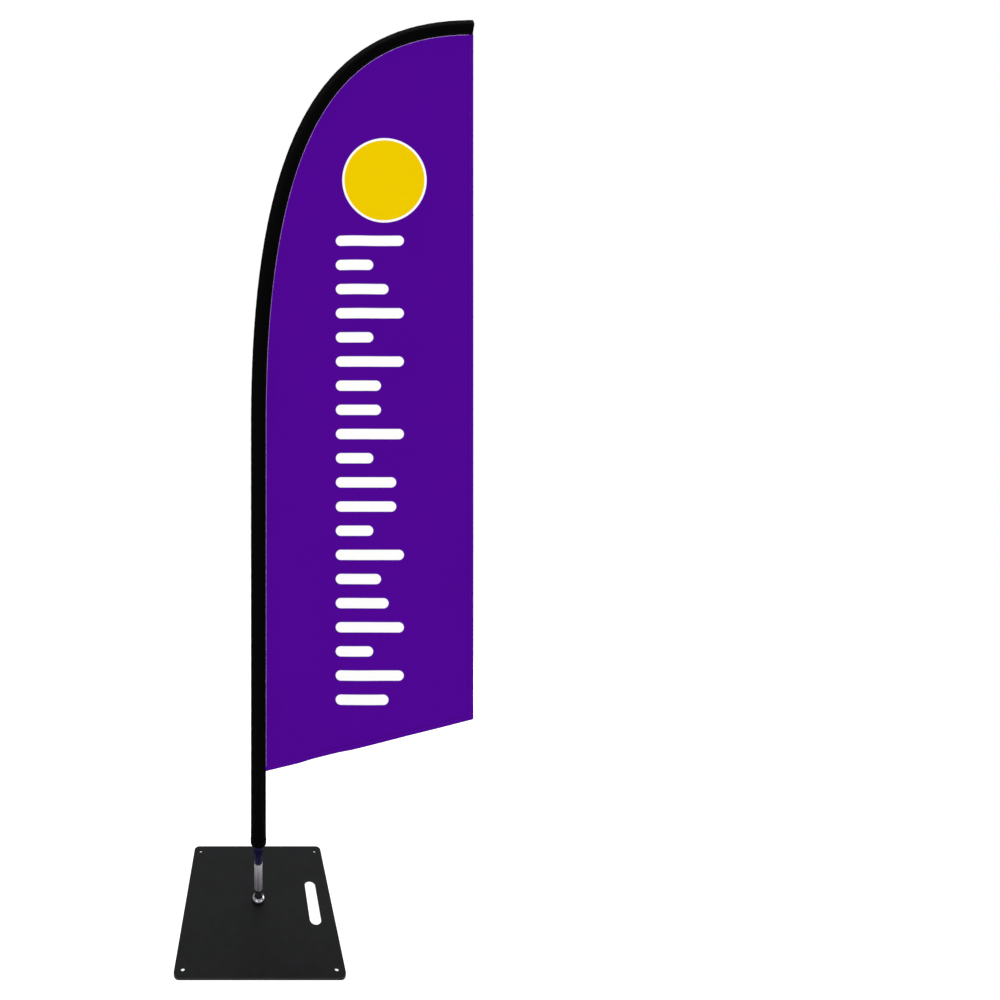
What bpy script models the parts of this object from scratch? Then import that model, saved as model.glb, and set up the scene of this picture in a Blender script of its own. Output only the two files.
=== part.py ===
"""Feather flag with pole, standing on a square steel plate with a ball-bearing spindle.

Frame: the origin is on the spindle axis at the plate's underside, +Z is up, +X points to the
flag's free edge and the front face looks towards -Y. All sizes are in metres. Heights named
..._HEIGHT are measured up from the plate's top face.
"""

import math

import bmesh
import bpy
from mathutils import Matrix, Vector

# General clearances
GAP = 0.0003  # between faces that rest on each other
FIT = 0.0002  # radial, between pieces that fit in each other
SLIP = 0.0003  # radial, between pieces that slide or hang loosely

# Base plate
PLATE_SIDE = 0.400
PLATE_THICKNESS = 0.006
PLATE_CORNER_RADIUS = 0.014
PLATE_EDGE_CHAMFER = 0.0005
PEG_HOLE_RADIUS = 0.0054
PEG_HOLE_INSET = 0.020  # hole centre to the plate's edges
SLOT_LENGTH = 0.140
SLOT_WIDTH = 0.030
SLOT_INSET = 0.051  # slot centreline to the plate's edge

# Axle through the plate
AXLE_RADIUS = 0.0048
AXLE_HEAD_RADIUS = 0.0096
AXLE_END_RADIUS = 0.0039
CUP_RADIUS = 0.01725
CUP_BELLY_RADIUS = 0.0070
CUP_FLOOR = 0.003
CUP_LIP_RADIUS = 0.0008
CLAMP_NUT_FLATS = 0.017
CLAMP_NUT_TOP_HEIGHT = 0.0335
AXLE_NUT_FLATS = 0.013
AXLE_NUT_LENGTH = 0.0065
NUT_CHAMFER = 0.0008

# Two deep-groove ball bearings
BALL_RADIUS = 0.00115
BALLS_PER_BEARING = 7
GROOVE_EASE = 0.00015
RACE_WALL = 0.00095
RACE_WIDTH = 0.005
RACE_SHOULDER = 0.0009  # from the pitch circle to each race's shoulder
CAGE_WALL = 0.0008
CAGE_RIM = 0.0021  # from the balls' plane down to the cage's closed rim
CAGE_PRONG = 0.0009  # from the balls' plane up to the cage's open side
SPACER_WALL = 0.0012
BEARING_SPREAD = 0.038  # between the balls' planes
COLLAR_LENGTH = 0.0024

# Spindle
SPINDLE_WALL = 0.0013
SPINDLE_BOTTOM_HEIGHT = 0.0345
SPINDLE_TOP_HEIGHT = 0.107
SPINDLE_STEP = 0.0011  # the bore's shoulder above the upper race
STUB_FLANGE = 0.002
STUB_ROOT = 0.012
STUB_RADIUS = 0.007
STUB_LENGTH = 0.091
STUB_CHAMFER = 0.0015
O_RING_CORD_RADIUS = 0.00085
O_RING_GROOVE_DEPTH = 0.0018
O_RING_HEIGHTS = (0.118, 0.140)
RETAINER_THICKNESS = 0.001
RETAINER_INNER_INSET = 0.0011  # the ring's bore inside the outer race's outside
RETAINER_GROOVE_DEPTH = 0.0006
RETAINER_OPENING = math.radians(36)

# Pole
FOOT_NECK_RADIUS = 0.0100
FOOT_NECK_TOP_HEIGHT = 0.128
FOOT_COLLAR_HEIGHT = 0.1525
FOOT_COLLAR_LENGTH = 0.0175
FOOT_SHOULDER_LENGTH = 0.020
FOOT_WALL = 0.0025
FOOT_SEAT_HEIGHT = 0.150  # the socket floor that the lower tube stands on
FOOT_SOCKET_DEPTH = 0.085
LOWER_TUBE_RADIUS = 0.011
TUBE_WALL = 0.0015
LOWER_TUBE_TOP_HEIGHT = 0.700
PLUG_LENGTH = 0.120
FERRULE_WALL = 0.0010
FERRULE_LENGTH = 0.032
STOP_RING_LENGTH = 0.007
TIP_JOINT_BELOW_BEND = 0.021
TIP_ROD_END_RADIUS = 0.003
TIP_ROD_END_BACK = 0.012  # rod end to the flag's free edge
TIP_CAP_WALL = 0.0014
TIP_CAP_LENGTH = 0.018
TIP_CAP_END = 0.004

# Flag outline: the pole's bend is one cubic curve
FLAG_REACH = 0.5905  # spindle axis to the free edge
BEND_START_HEIGHT = 1.311
TIP_HEIGHT = 2.405
ROOT_FULLNESS = 0.817  # lower handle as a share of the bend's rise
TIP_FULLNESS = 0.572  # upper handle as a share of the bend's reach
TAIL_HEIGHT = 0.3585  # panel's lowest corner, at the sleeve
FREE_CORNER_HEIGHT = 0.5016  # panel's lower corner at the free edge

# Cloth
SLEEVE_WIDTH = 0.0415
SLEEVE_WALL = 0.0008
SLEEVE_MOUTH_HEIGHT = 0.1600
SLEEVE_EASE = 0.0005
MOUTH_ROUND_LENGTH = 0.020
MOUTH_TAPER_LENGTH = 0.090
ELASTIC_THICKNESS = 0.0016
ELASTIC_WIDTH = 0.012
ELASTIC_INSET = 0.001
POCKET_LENGTH = 0.034
POCKET_FLOOR = 0.006
POCKET_HALF_THICKNESS = 0.0074
LAYER_THICKNESS = 0.0005

# Mesh fineness
TURNED_SIDES = 24
BEARING_SIDES = 20
ROD_SIDES = 12
SLEEVE_SIDES = TURNED_SIDES  # so that turned pieces nest in the sleeve side for side
BEND_STATIONS = 18
CORNER_SEGMENTS = 6

# Sizes that follow
PLATE_TOP = PLATE_THICKNESS
RACE_BORE = AXLE_RADIUS + FIT
PITCH_RADIUS = RACE_BORE + RACE_WALL + GROOVE_EASE + BALL_RADIUS
GROOVE_RADIUS = BALL_RADIUS + GROOVE_EASE
RACE_OUTSIDE = PITCH_RADIUS + GROOVE_RADIUS + RACE_WALL
SPINDLE_BORE = RACE_OUTSIDE + FIT
SPINDLE_RADIUS = SPINDLE_BORE + SPINDLE_WALL
SPINDLE_UPPER_BORE = SPINDLE_BORE - SPINDLE_STEP
LOWER_RACE_BOTTOM = PLATE_TOP + CLAMP_NUT_TOP_HEIGHT + COLLAR_LENGTH + 2 * GAP
LOWER_BEARING_Z = LOWER_RACE_BOTTOM + RACE_WIDTH / 2
UPPER_BEARING_Z = LOWER_BEARING_Z + BEARING_SPREAD
AXLE_SHOULDER_Z = UPPER_BEARING_Z + RACE_WIDTH / 2
AXLE_NUT_BOTTOM = AXLE_SHOULDER_Z + GAP
AXLE_TOP = AXLE_NUT_BOTTOM + AXLE_NUT_LENGTH + 0.0007
FOOT_BORE = STUB_RADIUS + 2 * FIT
FOOT_SOCKET = LOWER_TUBE_RADIUS + FIT
LOWER_TUBE_BORE = LOWER_TUBE_RADIUS - TUBE_WALL
MIDDLE_TUBE_RADIUS = LOWER_TUBE_BORE - SLIP
MIDDLE_TUBE_BORE = MIDDLE_TUBE_RADIUS - TUBE_WALL
TIP_ROD_RADIUS = MIDDLE_TUBE_BORE - SLIP
LOWER_FERRULE_RADIUS = LOWER_TUBE_RADIUS + FIT + FERRULE_WALL
BEND_START_Z = PLATE_TOP + BEND_START_HEIGHT
TIP_Z = PLATE_TOP + TIP_HEIGHT
LOWER_JOINT_Z = PLATE_TOP + LOWER_TUBE_TOP_HEIGHT
TIP_JOINT_Z = BEND_START_Z - TIP_JOINT_BELOW_BEND
SLEEVE_HALF_WIDTH = SLEEVE_WIDTH / 2
SLEEVE_MOUTH_Z = PLATE_TOP + SLEEVE_MOUTH_HEIGHT
SLEEVE_POLE_HALF_THICKNESS = LOWER_FERRULE_RADIUS + SLEEVE_EASE + SLEEVE_WALL
SLEEVE_TIP_HALF_THICKNESS = POCKET_HALF_THICKNESS + SLIP + SLEEVE_WALL
ELASTIC_RADIUS = SLEEVE_HALF_WIDTH - SLEEVE_WALL - GAP
FOOT_COLLAR_RADIUS = ELASTIC_RADIUS - ELASTIC_THICKNESS - GAP
PANEL_OFFSET = SLEEVE_HALF_WIDTH + GAP


def clear_scene():
    for existing in list(bpy.data.objects):
        bpy.data.objects.remove(existing, do_unlink=True)


def make_material(name, colour, roughness, metallic=0.0):
    made = bpy.data.materials.new(name)
    made.use_nodes = True
    shader = made.node_tree.nodes["Principled BSDF"]
    shader.inputs["Base Color"].default_value = (*colour, 1.0)
    shader.inputs["Roughness"].default_value = roughness
    shader.inputs["Metallic"].default_value = metallic
    made.diffuse_color = (*colour, 1.0)
    return made


def add_body(name, height=0.0, parent=None):
    """An empty on the spindle axis that carries the pieces of one moving body."""
    empty = bpy.data.objects.new("body_" + name, None)
    empty.empty_display_size = 0.02
    bpy.context.collection.objects.link(empty)
    empty.parent = parent
    empty.location.z = height - (parent.matrix_world.translation.z if parent else 0.0)
    bpy.context.view_layer.update()
    return empty


def add_piece(name, mesh_data, look, body, centre_z=0.0):
    """Turns a bmesh into an object on its body; centre_z is where its own origin stands."""
    bmesh.ops.recalc_face_normals(mesh_data, faces=mesh_data.faces[:])
    mesh = bpy.data.meshes.new(name)
    mesh_data.to_mesh(mesh)
    mesh_data.free()
    mesh.shade_smooth()
    mesh.set_sharp_from_angle(angle=math.radians(30))
    piece = bpy.data.objects.new(name, mesh)
    bpy.context.collection.objects.link(piece)
    if look:
        mesh.materials.append(look)
    if body:
        piece.parent = body
        piece.location.z = centre_z - body.matrix_world.translation.z
    return piece


def add_cutter(name, mesh_data):
    cutter = add_piece(name, mesh_data, None, None)
    cutter.hide_render = True
    cutter.display_type = "WIRE"
    return cutter


def use_boolean(piece, cutter, operation="DIFFERENCE"):
    modifier = piece.modifiers.new(cutter.name, "BOOLEAN")
    modifier.operation = operation
    modifier.object = cutter
    modifier.solver = "EXACT"


def profile_bmesh(profile, sides, closed=True, angle=2 * math.pi):
    """Spins a profile of (radius, height) points about Z."""
    made = bmesh.new()
    points = [made.verts.new((radius, 0, height)) for radius, height in profile]
    edges = [made.edges.new(pair) for pair in zip(points, points[1:])]
    full_turn = angle > 1.999 * math.pi
    if closed and full_turn:
        edges.append(made.edges.new((points[-1], points[0])))
    faces = [] if full_turn else [made.faces.new(points)]
    if not full_turn:
        edges = list(faces[0].edges)
    bmesh.ops.spin(
        made,
        geom=points + edges + faces,
        cent=(0, 0, 0),
        axis=(0, 0, 1),
        angle=angle,
        steps=sides,
        use_merge=full_turn,
    )
    bmesh.ops.remove_doubles(made, verts=made.verts[:], dist=1e-7)
    return made


def ring_profile(inner, outer, bottom, top):
    return [(outer, top), (outer, bottom), (inner, bottom), (inner, top)]


def add_turned(name, profile, look, body, sides=TURNED_SIDES, closed=True, centre_z=0.0):
    return add_piece(name, profile_bmesh(profile, sides, closed), look, body, centre_z)


def arc(centre_radius, centre_height, radius, start, end, segments):
    """Points on an arc in the profile plane, with angles in degrees from the +radius side."""
    turns = [math.radians(start + (end - start) * i / segments) for i in range(segments + 1)]
    return [
        (centre_radius + radius * math.cos(a), centre_height + radius * math.sin(a))
        for a in turns
    ]


def add_cylinder(mesh_data, radius, bottom, top, x=0.0, y=0.0, sides=TURNED_SIDES):
    bmesh.ops.create_cone(
        mesh_data,
        cap_ends=True,
        segments=sides,
        radius1=radius,
        radius2=radius,
        depth=top - bottom,
        matrix=Matrix.Translation((x, y, (top + bottom) / 2)),
    )


def add_hex_nut(name, flats, bore, bottom, top, look, body):
    """A hexagon nut with its corners chamfered at both ends."""
    corner = flats / math.sqrt(3)
    prism = bmesh.new()
    add_cylinder(prism, corner, bottom, top, sides=6)
    nut = add_piece(name, prism, look, body)
    drop = NUT_CHAMFER / 2
    barrel = [
        (0, top + 0.001),
        (corner - NUT_CHAMFER - 0.001, top + 0.001),
        (corner - NUT_CHAMFER, top),
        (corner + 0.001, top - drop - 0.0005),
        (corner + 0.001, bottom + drop + 0.0005),
        (corner - NUT_CHAMFER, bottom),
        (corner - NUT_CHAMFER - 0.001, bottom - 0.001),
        (0, bottom - 0.001),
    ]
    rounding = add_cutter(name + "_rounding", profile_bmesh(barrel, TURNED_SIDES, closed=False))
    use_boolean(nut, rounding, "INTERSECT")
    hole = bmesh.new()
    add_cylinder(hole, bore, bottom - 0.002, top + 0.002)
    use_boolean(nut, add_cutter(name + "_hole", hole))
    return nut


def rounded_slot(mesh_data, x, width, length, bottom, top):
    """A vertical prism with half-round ends, its long side along Y."""
    radius = width / 2
    straight = length / 2 - radius
    outline = []
    for side in (1, -1):
        for step in range(TURNED_SIDES // 2 + 1):
            turn = math.pi * step / (TURNED_SIDES // 2)
            outline.append(
                mesh_data.verts.new(
                    (
                        x + side * radius * math.cos(turn),
                        side * (straight + radius * math.sin(turn)),
                        bottom,
                    )
                )
            )
    floor = mesh_data.faces.new(outline)
    lifted = bmesh.ops.extrude_face_region(mesh_data, geom=[floor])["geom"]
    corners = [part for part in lifted if isinstance(part, bmesh.types.BMVert)]
    bmesh.ops.translate(mesh_data, verts=corners, vec=(0, 0, top - bottom))


def add_base(base, looks):
    """The plate, and the axle, cup and nut that stand still on it."""
    slab = bmesh.new()
    size = Matrix.Diagonal((PLATE_SIDE, PLATE_SIDE, PLATE_THICKNESS, 1.0))
    bmesh.ops.create_cube(
        slab, size=1.0, matrix=Matrix.Translation((0, 0, PLATE_THICKNESS / 2)) @ size
    )
    upright = [e for e in slab.edges if abs(e.verts[0].co.z - e.verts[1].co.z) > 1e-6]
    bmesh.ops.bevel(
        slab,
        geom=upright,
        offset=PLATE_CORNER_RADIUS,
        segments=CORNER_SEGMENTS,
        profile=0.5,
        affect="EDGES",
    )
    rims = [
        e
        for e in slab.edges
        if abs(e.verts[0].co.z - e.verts[1].co.z) < 1e-6
        and {round(abs(f.normal.z)) for f in e.link_faces} == {0, 1}
    ]
    bmesh.ops.bevel(
        slab,
        geom=rims,
        offset=PLATE_EDGE_CHAMFER,
        segments=1,
        profile=0.5,
        affect="EDGES",
    )
    plate = add_piece("base_plate", slab, looks["plate"], base)

    reach = PLATE_SIDE / 2
    holes = bmesh.new()
    for x in (-1, 1):
        for y in (-1, 1):
            add_cylinder(
                holes,
                PEG_HOLE_RADIUS,
                -0.002,
                PLATE_THICKNESS + 0.002,
                x * (reach - PEG_HOLE_INSET),
                y * (reach - PEG_HOLE_INSET),
                sides=20,
            )
    rounded_slot(
        holes, reach - SLOT_INSET, SLOT_WIDTH, SLOT_LENGTH, -0.002, PLATE_THICKNESS + 0.002
    )
    use_boolean(plate, add_cutter("plate_holes", holes))

    head_depth = AXLE_HEAD_RADIUS - AXLE_RADIUS
    sink = [
        (0, PLATE_THICKNESS + 0.002),
        (AXLE_RADIUS + SLIP, PLATE_THICKNESS + 0.002),
        (AXLE_RADIUS + SLIP, head_depth),
        (AXLE_HEAD_RADIUS + SLIP, 0),
        (AXLE_HEAD_RADIUS + SLIP, -0.002),
        (0, -0.002),
    ]
    countersink = profile_bmesh(sink, TURNED_SIDES, closed=False)
    use_boolean(plate, add_cutter("plate_countersink", countersink))

    axle = [
        (0, AXLE_TOP),
        (AXLE_END_RADIUS - 0.0006, AXLE_TOP),
        (AXLE_END_RADIUS, AXLE_TOP - 0.0006),
        (AXLE_END_RADIUS, AXLE_SHOULDER_Z),
        (AXLE_RADIUS, AXLE_SHOULDER_Z),
        (AXLE_RADIUS, head_depth),
        (AXLE_HEAD_RADIUS, 0),
        (0, 0),
    ]
    add_turned("axle_bolt", axle, looks["zinc"], base, closed=False)

    cup_bottom = PLATE_TOP + GAP
    belly_centre = CUP_RADIUS - CUP_BELLY_RADIUS
    belly_z = cup_bottom + CUP_BELLY_RADIUS * math.sin(math.radians(60)) + 0.0012
    mouth = CLAMP_NUT_FLATS / math.sqrt(3) + 0.0016
    lip = (mouth + CUP_LIP_RADIUS, belly_z + CUP_BELLY_RADIUS * math.sin(math.radians(68)))
    cup = (
        arc(*lip, CUP_LIP_RADIUS, 180, 90, 3)
        + arc(belly_centre, belly_z, CUP_BELLY_RADIUS, 62, -60, 9)
        + [(belly_centre + CUP_BELLY_RADIUS * 0.36, cup_bottom)]
        + [(AXLE_RADIUS + SLIP, cup_bottom), (AXLE_RADIUS + SLIP, cup_bottom + CUP_FLOOR)]
        + [(mouth, cup_bottom + CUP_FLOOR)]
    )
    add_turned("seat_cup", cup, looks["chrome"], base)

    add_hex_nut(
        "clamp_nut",
        CLAMP_NUT_FLATS,
        AXLE_RADIUS + FIT,
        cup_bottom + CUP_FLOOR + GAP,
        PLATE_TOP + CLAMP_NUT_TOP_HEIGHT,
        looks["black_steel"],
        base,
    )
    collar_bottom = PLATE_TOP + CLAMP_NUT_TOP_HEIGHT + GAP
    collar = ring_profile(
        RACE_BORE, RACE_BORE + SPACER_WALL, collar_bottom, collar_bottom + COLLAR_LENGTH
    )
    add_turned("bearing_collar", collar, looks["steel"], base, BEARING_SIDES)
    spacer = ring_profile(
        RACE_BORE,
        RACE_BORE + SPACER_WALL,
        LOWER_BEARING_Z + RACE_WIDTH / 2 + GAP,
        UPPER_BEARING_Z - RACE_WIDTH / 2 - GAP,
    )
    add_turned("inner_spacer", spacer, looks["steel"], base, BEARING_SIDES)
    add_hex_nut(
        "axle_nut",
        AXLE_NUT_FLATS,
        AXLE_END_RADIUS + FIT,
        AXLE_NUT_BOTTOM,
        AXLE_NUT_BOTTOM + AXLE_NUT_LENGTH,
        looks["zinc"],
        base,
    )


def race_profile(bore, outside, facing_out):
    """A race's section about the balls' plane, grooved on the side that faces the balls."""
    half = RACE_WIDTH / 2
    if facing_out:
        shoulder = PITCH_RADIUS - RACE_SHOULDER
        edge = math.degrees(math.acos(RACE_SHOULDER / GROOVE_RADIUS))
        groove = arc(PITCH_RADIUS, 0, GROOVE_RADIUS, 180 - edge, 180 + edge, 6)
        return [(bore, half), (shoulder, half)] + groove + [(shoulder, -half), (bore, -half)]
    shoulder = PITCH_RADIUS + RACE_SHOULDER
    edge = math.degrees(math.acos(RACE_SHOULDER / GROOVE_RADIUS))
    groove = arc(PITCH_RADIUS, 0, GROOVE_RADIUS, -edge, edge, 6)
    return [(outside, half), (outside, -half), (shoulder, -half)] + groove + [(shoulder, half)]


def add_bearing(place, height, base, rotor, cage_body, looks):
    """One ball bearing: fixed inner race, turning outer race, and a cage that carries the balls."""
    add_turned(
        place + "_inner_race",
        race_profile(RACE_BORE, None, facing_out=True),
        looks["bearing_steel"],
        base,
        BEARING_SIDES,
        centre_z=height,
    )
    add_turned(
        place + "_outer_race",
        race_profile(None, RACE_OUTSIDE, facing_out=False),
        looks["bearing_steel"],
        rotor,
        BEARING_SIDES,
        centre_z=height,
    )
    cage_ring = ring_profile(
        PITCH_RADIUS - CAGE_WALL / 2, PITCH_RADIUS + CAGE_WALL / 2, -CAGE_RIM, CAGE_PRONG
    )
    cage = add_turned(
        place + "_ball_cage",
        cage_ring,
        looks["nylon"],
        cage_body,
        BALLS_PER_BEARING * 4,
        centre_z=height,
    )
    pockets = bmesh.new()
    for i in range(BALLS_PER_BEARING):
        turn = 2 * math.pi * i / BALLS_PER_BEARING
        outwards = Vector((math.cos(turn), math.sin(turn), 0))
        aim = outwards.to_track_quat("Z", "Y").to_matrix().to_4x4()
        bmesh.ops.create_cone(
            pockets,
            cap_ends=True,
            segments=12,
            radius1=GROOVE_RADIUS,
            radius2=GROOVE_RADIUS,
            depth=4 * CAGE_WALL,
            matrix=Matrix.Translation(outwards * PITCH_RADIUS) @ aim,
        )
        ball = bmesh.new()
        bmesh.ops.create_icosphere(
            ball,
            subdivisions=2,
            radius=BALL_RADIUS,
            matrix=Matrix.Translation(outwards * PITCH_RADIUS),
        )
        add_piece(f"{place}_ball_{i + 1}", ball, looks["bearing_steel"], cage_body, height)
    cutter = add_cutter(place + "_cage_pockets", pockets)
    cutter.parent = cage_body
    use_boolean(cage, cutter)


def add_rotor(rotor, looks):
    """The chrome spindle that turns on the two bearings."""
    bottom = PLATE_TOP + SPINDLE_BOTTOM_HEIGHT
    flange_top = PLATE_TOP + SPINDLE_TOP_HEIGHT
    flange_bottom = flange_top - STUB_FLANGE
    step_z = UPPER_BEARING_Z + RACE_WIDTH / 2 + GAP
    retainer_top = LOWER_RACE_BOTTOM - GAP
    retainer_bottom = retainer_top - RETAINER_THICKNESS
    groove = SPINDLE_BORE + RETAINER_GROOVE_DEPTH
    tube = [
        (SPINDLE_RADIUS, flange_bottom - GAP),
        (SPINDLE_RADIUS, bottom + 0.0005),
        (SPINDLE_RADIUS - 0.0005, bottom),
        (SPINDLE_BORE, bottom),
        (SPINDLE_BORE, retainer_bottom - FIT),
        (groove, retainer_bottom - FIT),
        (groove, retainer_top + FIT),
        (SPINDLE_BORE, retainer_top + FIT),
        (SPINDLE_BORE, step_z),
        (SPINDLE_UPPER_BORE, step_z),
        (SPINDLE_UPPER_BORE, flange_bottom - GAP),
    ]
    add_turned("spindle_tube", tube, looks["chrome"], rotor)

    stub_top = flange_top + STUB_LENGTH
    stub = [(0, stub_top), (STUB_RADIUS - STUB_CHAMFER, stub_top)]
    stub.append((STUB_RADIUS, stub_top - STUB_CHAMFER))
    half_groove = O_RING_CORD_RADIUS + FIT
    for height in reversed(O_RING_HEIGHTS):
        ring_z = PLATE_TOP + height
        stub.append((STUB_RADIUS, ring_z + half_groove))
        stub.append((STUB_RADIUS - O_RING_GROOVE_DEPTH, ring_z + half_groove))
        stub.append((STUB_RADIUS - O_RING_GROOVE_DEPTH, ring_z - half_groove))
        stub.append((STUB_RADIUS, ring_z - half_groove))
    stub += [
        (STUB_RADIUS, flange_top),
        (SPINDLE_RADIUS - 0.0005, flange_top),
        (SPINDLE_RADIUS, flange_top - 0.0005),
        (SPINDLE_RADIUS, flange_bottom),
        (SPINDLE_UPPER_BORE - FIT, flange_bottom),
        (SPINDLE_UPPER_BORE - FIT, flange_bottom - STUB_ROOT),
        (0, flange_bottom - STUB_ROOT),
    ]
    add_turned("spindle_stub", stub, looks["chrome"], rotor, closed=False)

    cord_centre = STUB_RADIUS - O_RING_GROOVE_DEPTH + FIT + O_RING_CORD_RADIUS
    for place, height in zip(("lower", "upper"), O_RING_HEIGHTS):
        section = arc(cord_centre, 0, O_RING_CORD_RADIUS, 0, -315, 7)
        add_turned(
            place + "_o_ring",
            section,
            looks["rubber"],
            rotor,
            BEARING_SIDES,
            centre_z=PLATE_TOP + height,
        )

    between = ring_profile(
        RACE_OUTSIDE - SPACER_WALL,
        RACE_OUTSIDE,
        LOWER_BEARING_Z + RACE_WIDTH / 2 + GAP,
        UPPER_BEARING_Z - RACE_WIDTH / 2 - GAP,
    )
    add_turned("outer_spacer", between, looks["steel"], rotor, BEARING_SIDES)
    section = ring_profile(
        RACE_OUTSIDE - RETAINER_INNER_INSET,
        groove - FIT,
        retainer_bottom,
        retainer_top,
    )
    snap_ring = profile_bmesh(section, BEARING_SIDES, angle=2 * math.pi - RETAINER_OPENING)
    add_piece("retaining_ring", snap_ring, looks["black_steel"], rotor)


def add_lower_pole(lower_pole, looks):
    """The moulded foot that drops over the stub, and the lower tube glued into it."""
    foot_bottom = PLATE_TOP + SPINDLE_TOP_HEIGHT + GAP
    seat = PLATE_TOP + FOOT_SEAT_HEIGHT
    foot_top = seat + FOOT_SOCKET_DEPTH
    collar_z = PLATE_TOP + FOOT_COLLAR_HEIGHT
    upper_radius = FOOT_SOCKET + FOOT_WALL
    foot = [
        (FOOT_SOCKET, foot_top),
        (upper_radius - 0.001, foot_top),
        (upper_radius, foot_top - 0.001),
        (upper_radius, collar_z + FOOT_COLLAR_LENGTH + FOOT_SHOULDER_LENGTH),
        (FOOT_COLLAR_RADIUS, collar_z + FOOT_COLLAR_LENGTH),
        (FOOT_COLLAR_RADIUS, collar_z),
        (FOOT_NECK_RADIUS, PLATE_TOP + FOOT_NECK_TOP_HEIGHT),
        (FOOT_NECK_RADIUS, foot_bottom + 0.0006),
        (FOOT_NECK_RADIUS - 0.0006, foot_bottom),
        (FOOT_BORE, foot_bottom),
        (FOOT_BORE, seat),
        (FOOT_SOCKET, seat),
    ]
    add_turned("pole_foot", foot, looks["navy"], lower_pole)
    tube = ring_profile(LOWER_TUBE_BORE, LOWER_TUBE_RADIUS, seat + GAP, LOWER_JOINT_Z)
    add_turned("lower_tube", tube, looks["composite"], lower_pole)
    band = ring_profile(
        LOWER_TUBE_RADIUS + FIT,
        LOWER_FERRULE_RADIUS,
        LOWER_JOINT_Z - FERRULE_LENGTH,
        LOWER_JOINT_Z,
    )
    add_turned("lower_ferrule", band, looks["aluminium"], lower_pole)


def add_middle_pole(middle_pole, looks):
    """The middle tube, which plugs into the lower one down to its stop ring."""
    tube = ring_profile(
        MIDDLE_TUBE_BORE, MIDDLE_TUBE_RADIUS, LOWER_JOINT_Z - PLUG_LENGTH, TIP_JOINT_Z
    )
    add_turned("middle_tube", tube, looks["composite"], middle_pole)
    stop = ring_profile(
        MIDDLE_TUBE_RADIUS + FIT,
        LOWER_TUBE_RADIUS,
        LOWER_JOINT_Z + GAP,
        LOWER_JOINT_Z + GAP + STOP_RING_LENGTH,
    )
    add_turned("middle_stop_ring", stop, looks["aluminium"], middle_pole)
    band = ring_profile(
        MIDDLE_TUBE_RADIUS + FIT,
        MIDDLE_TUBE_RADIUS + FIT + FERRULE_WALL,
        TIP_JOINT_Z - FERRULE_LENGTH,
        TIP_JOINT_Z,
    )
    add_turned("middle_ferrule", band, looks["aluminium"], middle_pole)


def bend_frame(t):
    """Point and inward normal of the bend's centreline at t, which runs from 0 to 1."""
    rise = TIP_HEIGHT - BEND_START_HEIGHT
    corners = (
        Vector((0, 0, BEND_START_Z)),
        Vector((0, 0, BEND_START_Z + ROOT_FULLNESS * rise)),
        Vector((FLAG_REACH * (1 - TIP_FULLNESS), 0, TIP_Z)),
        Vector((FLAG_REACH, 0, TIP_Z)),
    )
    s = 1 - t
    point = (
        corners[0] * s**3
        + corners[1] * 3 * s * s * t
        + corners[2] * 3 * s * t * t
        + corners[3] * t**3
    )
    heading = (
        (corners[1] - corners[0]) * s * s
        + (corners[2] - corners[1]) * 2 * s * t
        + (corners[3] - corners[2]) * t * t
    ).normalized()
    return point, Vector((heading.z, 0, -heading.x))


def straight_end_t():
    """The t where the bend's last stretch starts, which is straight inside the tip pocket."""
    low, high = 0.0, 1.0
    for _ in range(40):
        middle = (low + high) / 2
        if bend_frame(middle)[0].x < FLAG_REACH - POCKET_LENGTH:
            low = middle
        else:
            high = middle
    return low


def straight_end_frame(back):
    """Point and inward normal on that last stretch, a distance back from the free edge."""
    start_point, start_inwards = bend_frame(straight_end_t())
    tip_point, tip_inwards = bend_frame(1.0)
    share = 1 - back / POCKET_LENGTH
    inwards = start_inwards.lerp(tip_inwards, share).normalized()
    return start_point.lerp(tip_point, share), inwards


def bend_ts():
    last = straight_end_t()
    return [last * i / BEND_STATIONS for i in range(BEND_STATIONS + 1)]


def section_loop(mesh_data, point, inwards, half_width, half_thickness, sides):
    loop = []
    for i in range(sides):
        turn = 2 * math.pi * i / sides
        place = point + inwards * (half_width * math.cos(turn))
        place.y += half_thickness * math.sin(turn)
        loop.append(mesh_data.verts.new(place))
    return loop


def join_loops(mesh_data, first, second):
    count = len(first)
    for i in range(count):
        j = (i + 1) % count
        mesh_data.faces.new((first[i], first[j], second[j], second[i]))


def swept_bmesh(outer, inner, sides):
    """A solid, or with inner stations a tube, through (point, inwards, width, thickness)."""
    made = bmesh.new()
    skins = []
    for stations in (outer, inner):
        loops = [section_loop(made, *station, sides) for station in stations]
        for first, second in zip(loops, loops[1:]):
            join_loops(made, first, second)
        if loops:
            skins.append((loops[0], loops[-1]))
    if inner:
        join_loops(made, skins[0][0], skins[1][0])
        join_loops(made, skins[0][1], skins[1][1])
    else:
        made.faces.new(skins[0][0])
        made.faces.new(skins[0][1])
    return made


def sleeve_thickness_at(t):
    """Half the sleeve's thickness along the bend, which narrows with the rod inside it."""
    return SLEEVE_POLE_HALF_THICKNESS * (1 - t) + SLEEVE_TIP_HALF_THICKNESS * t


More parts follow.
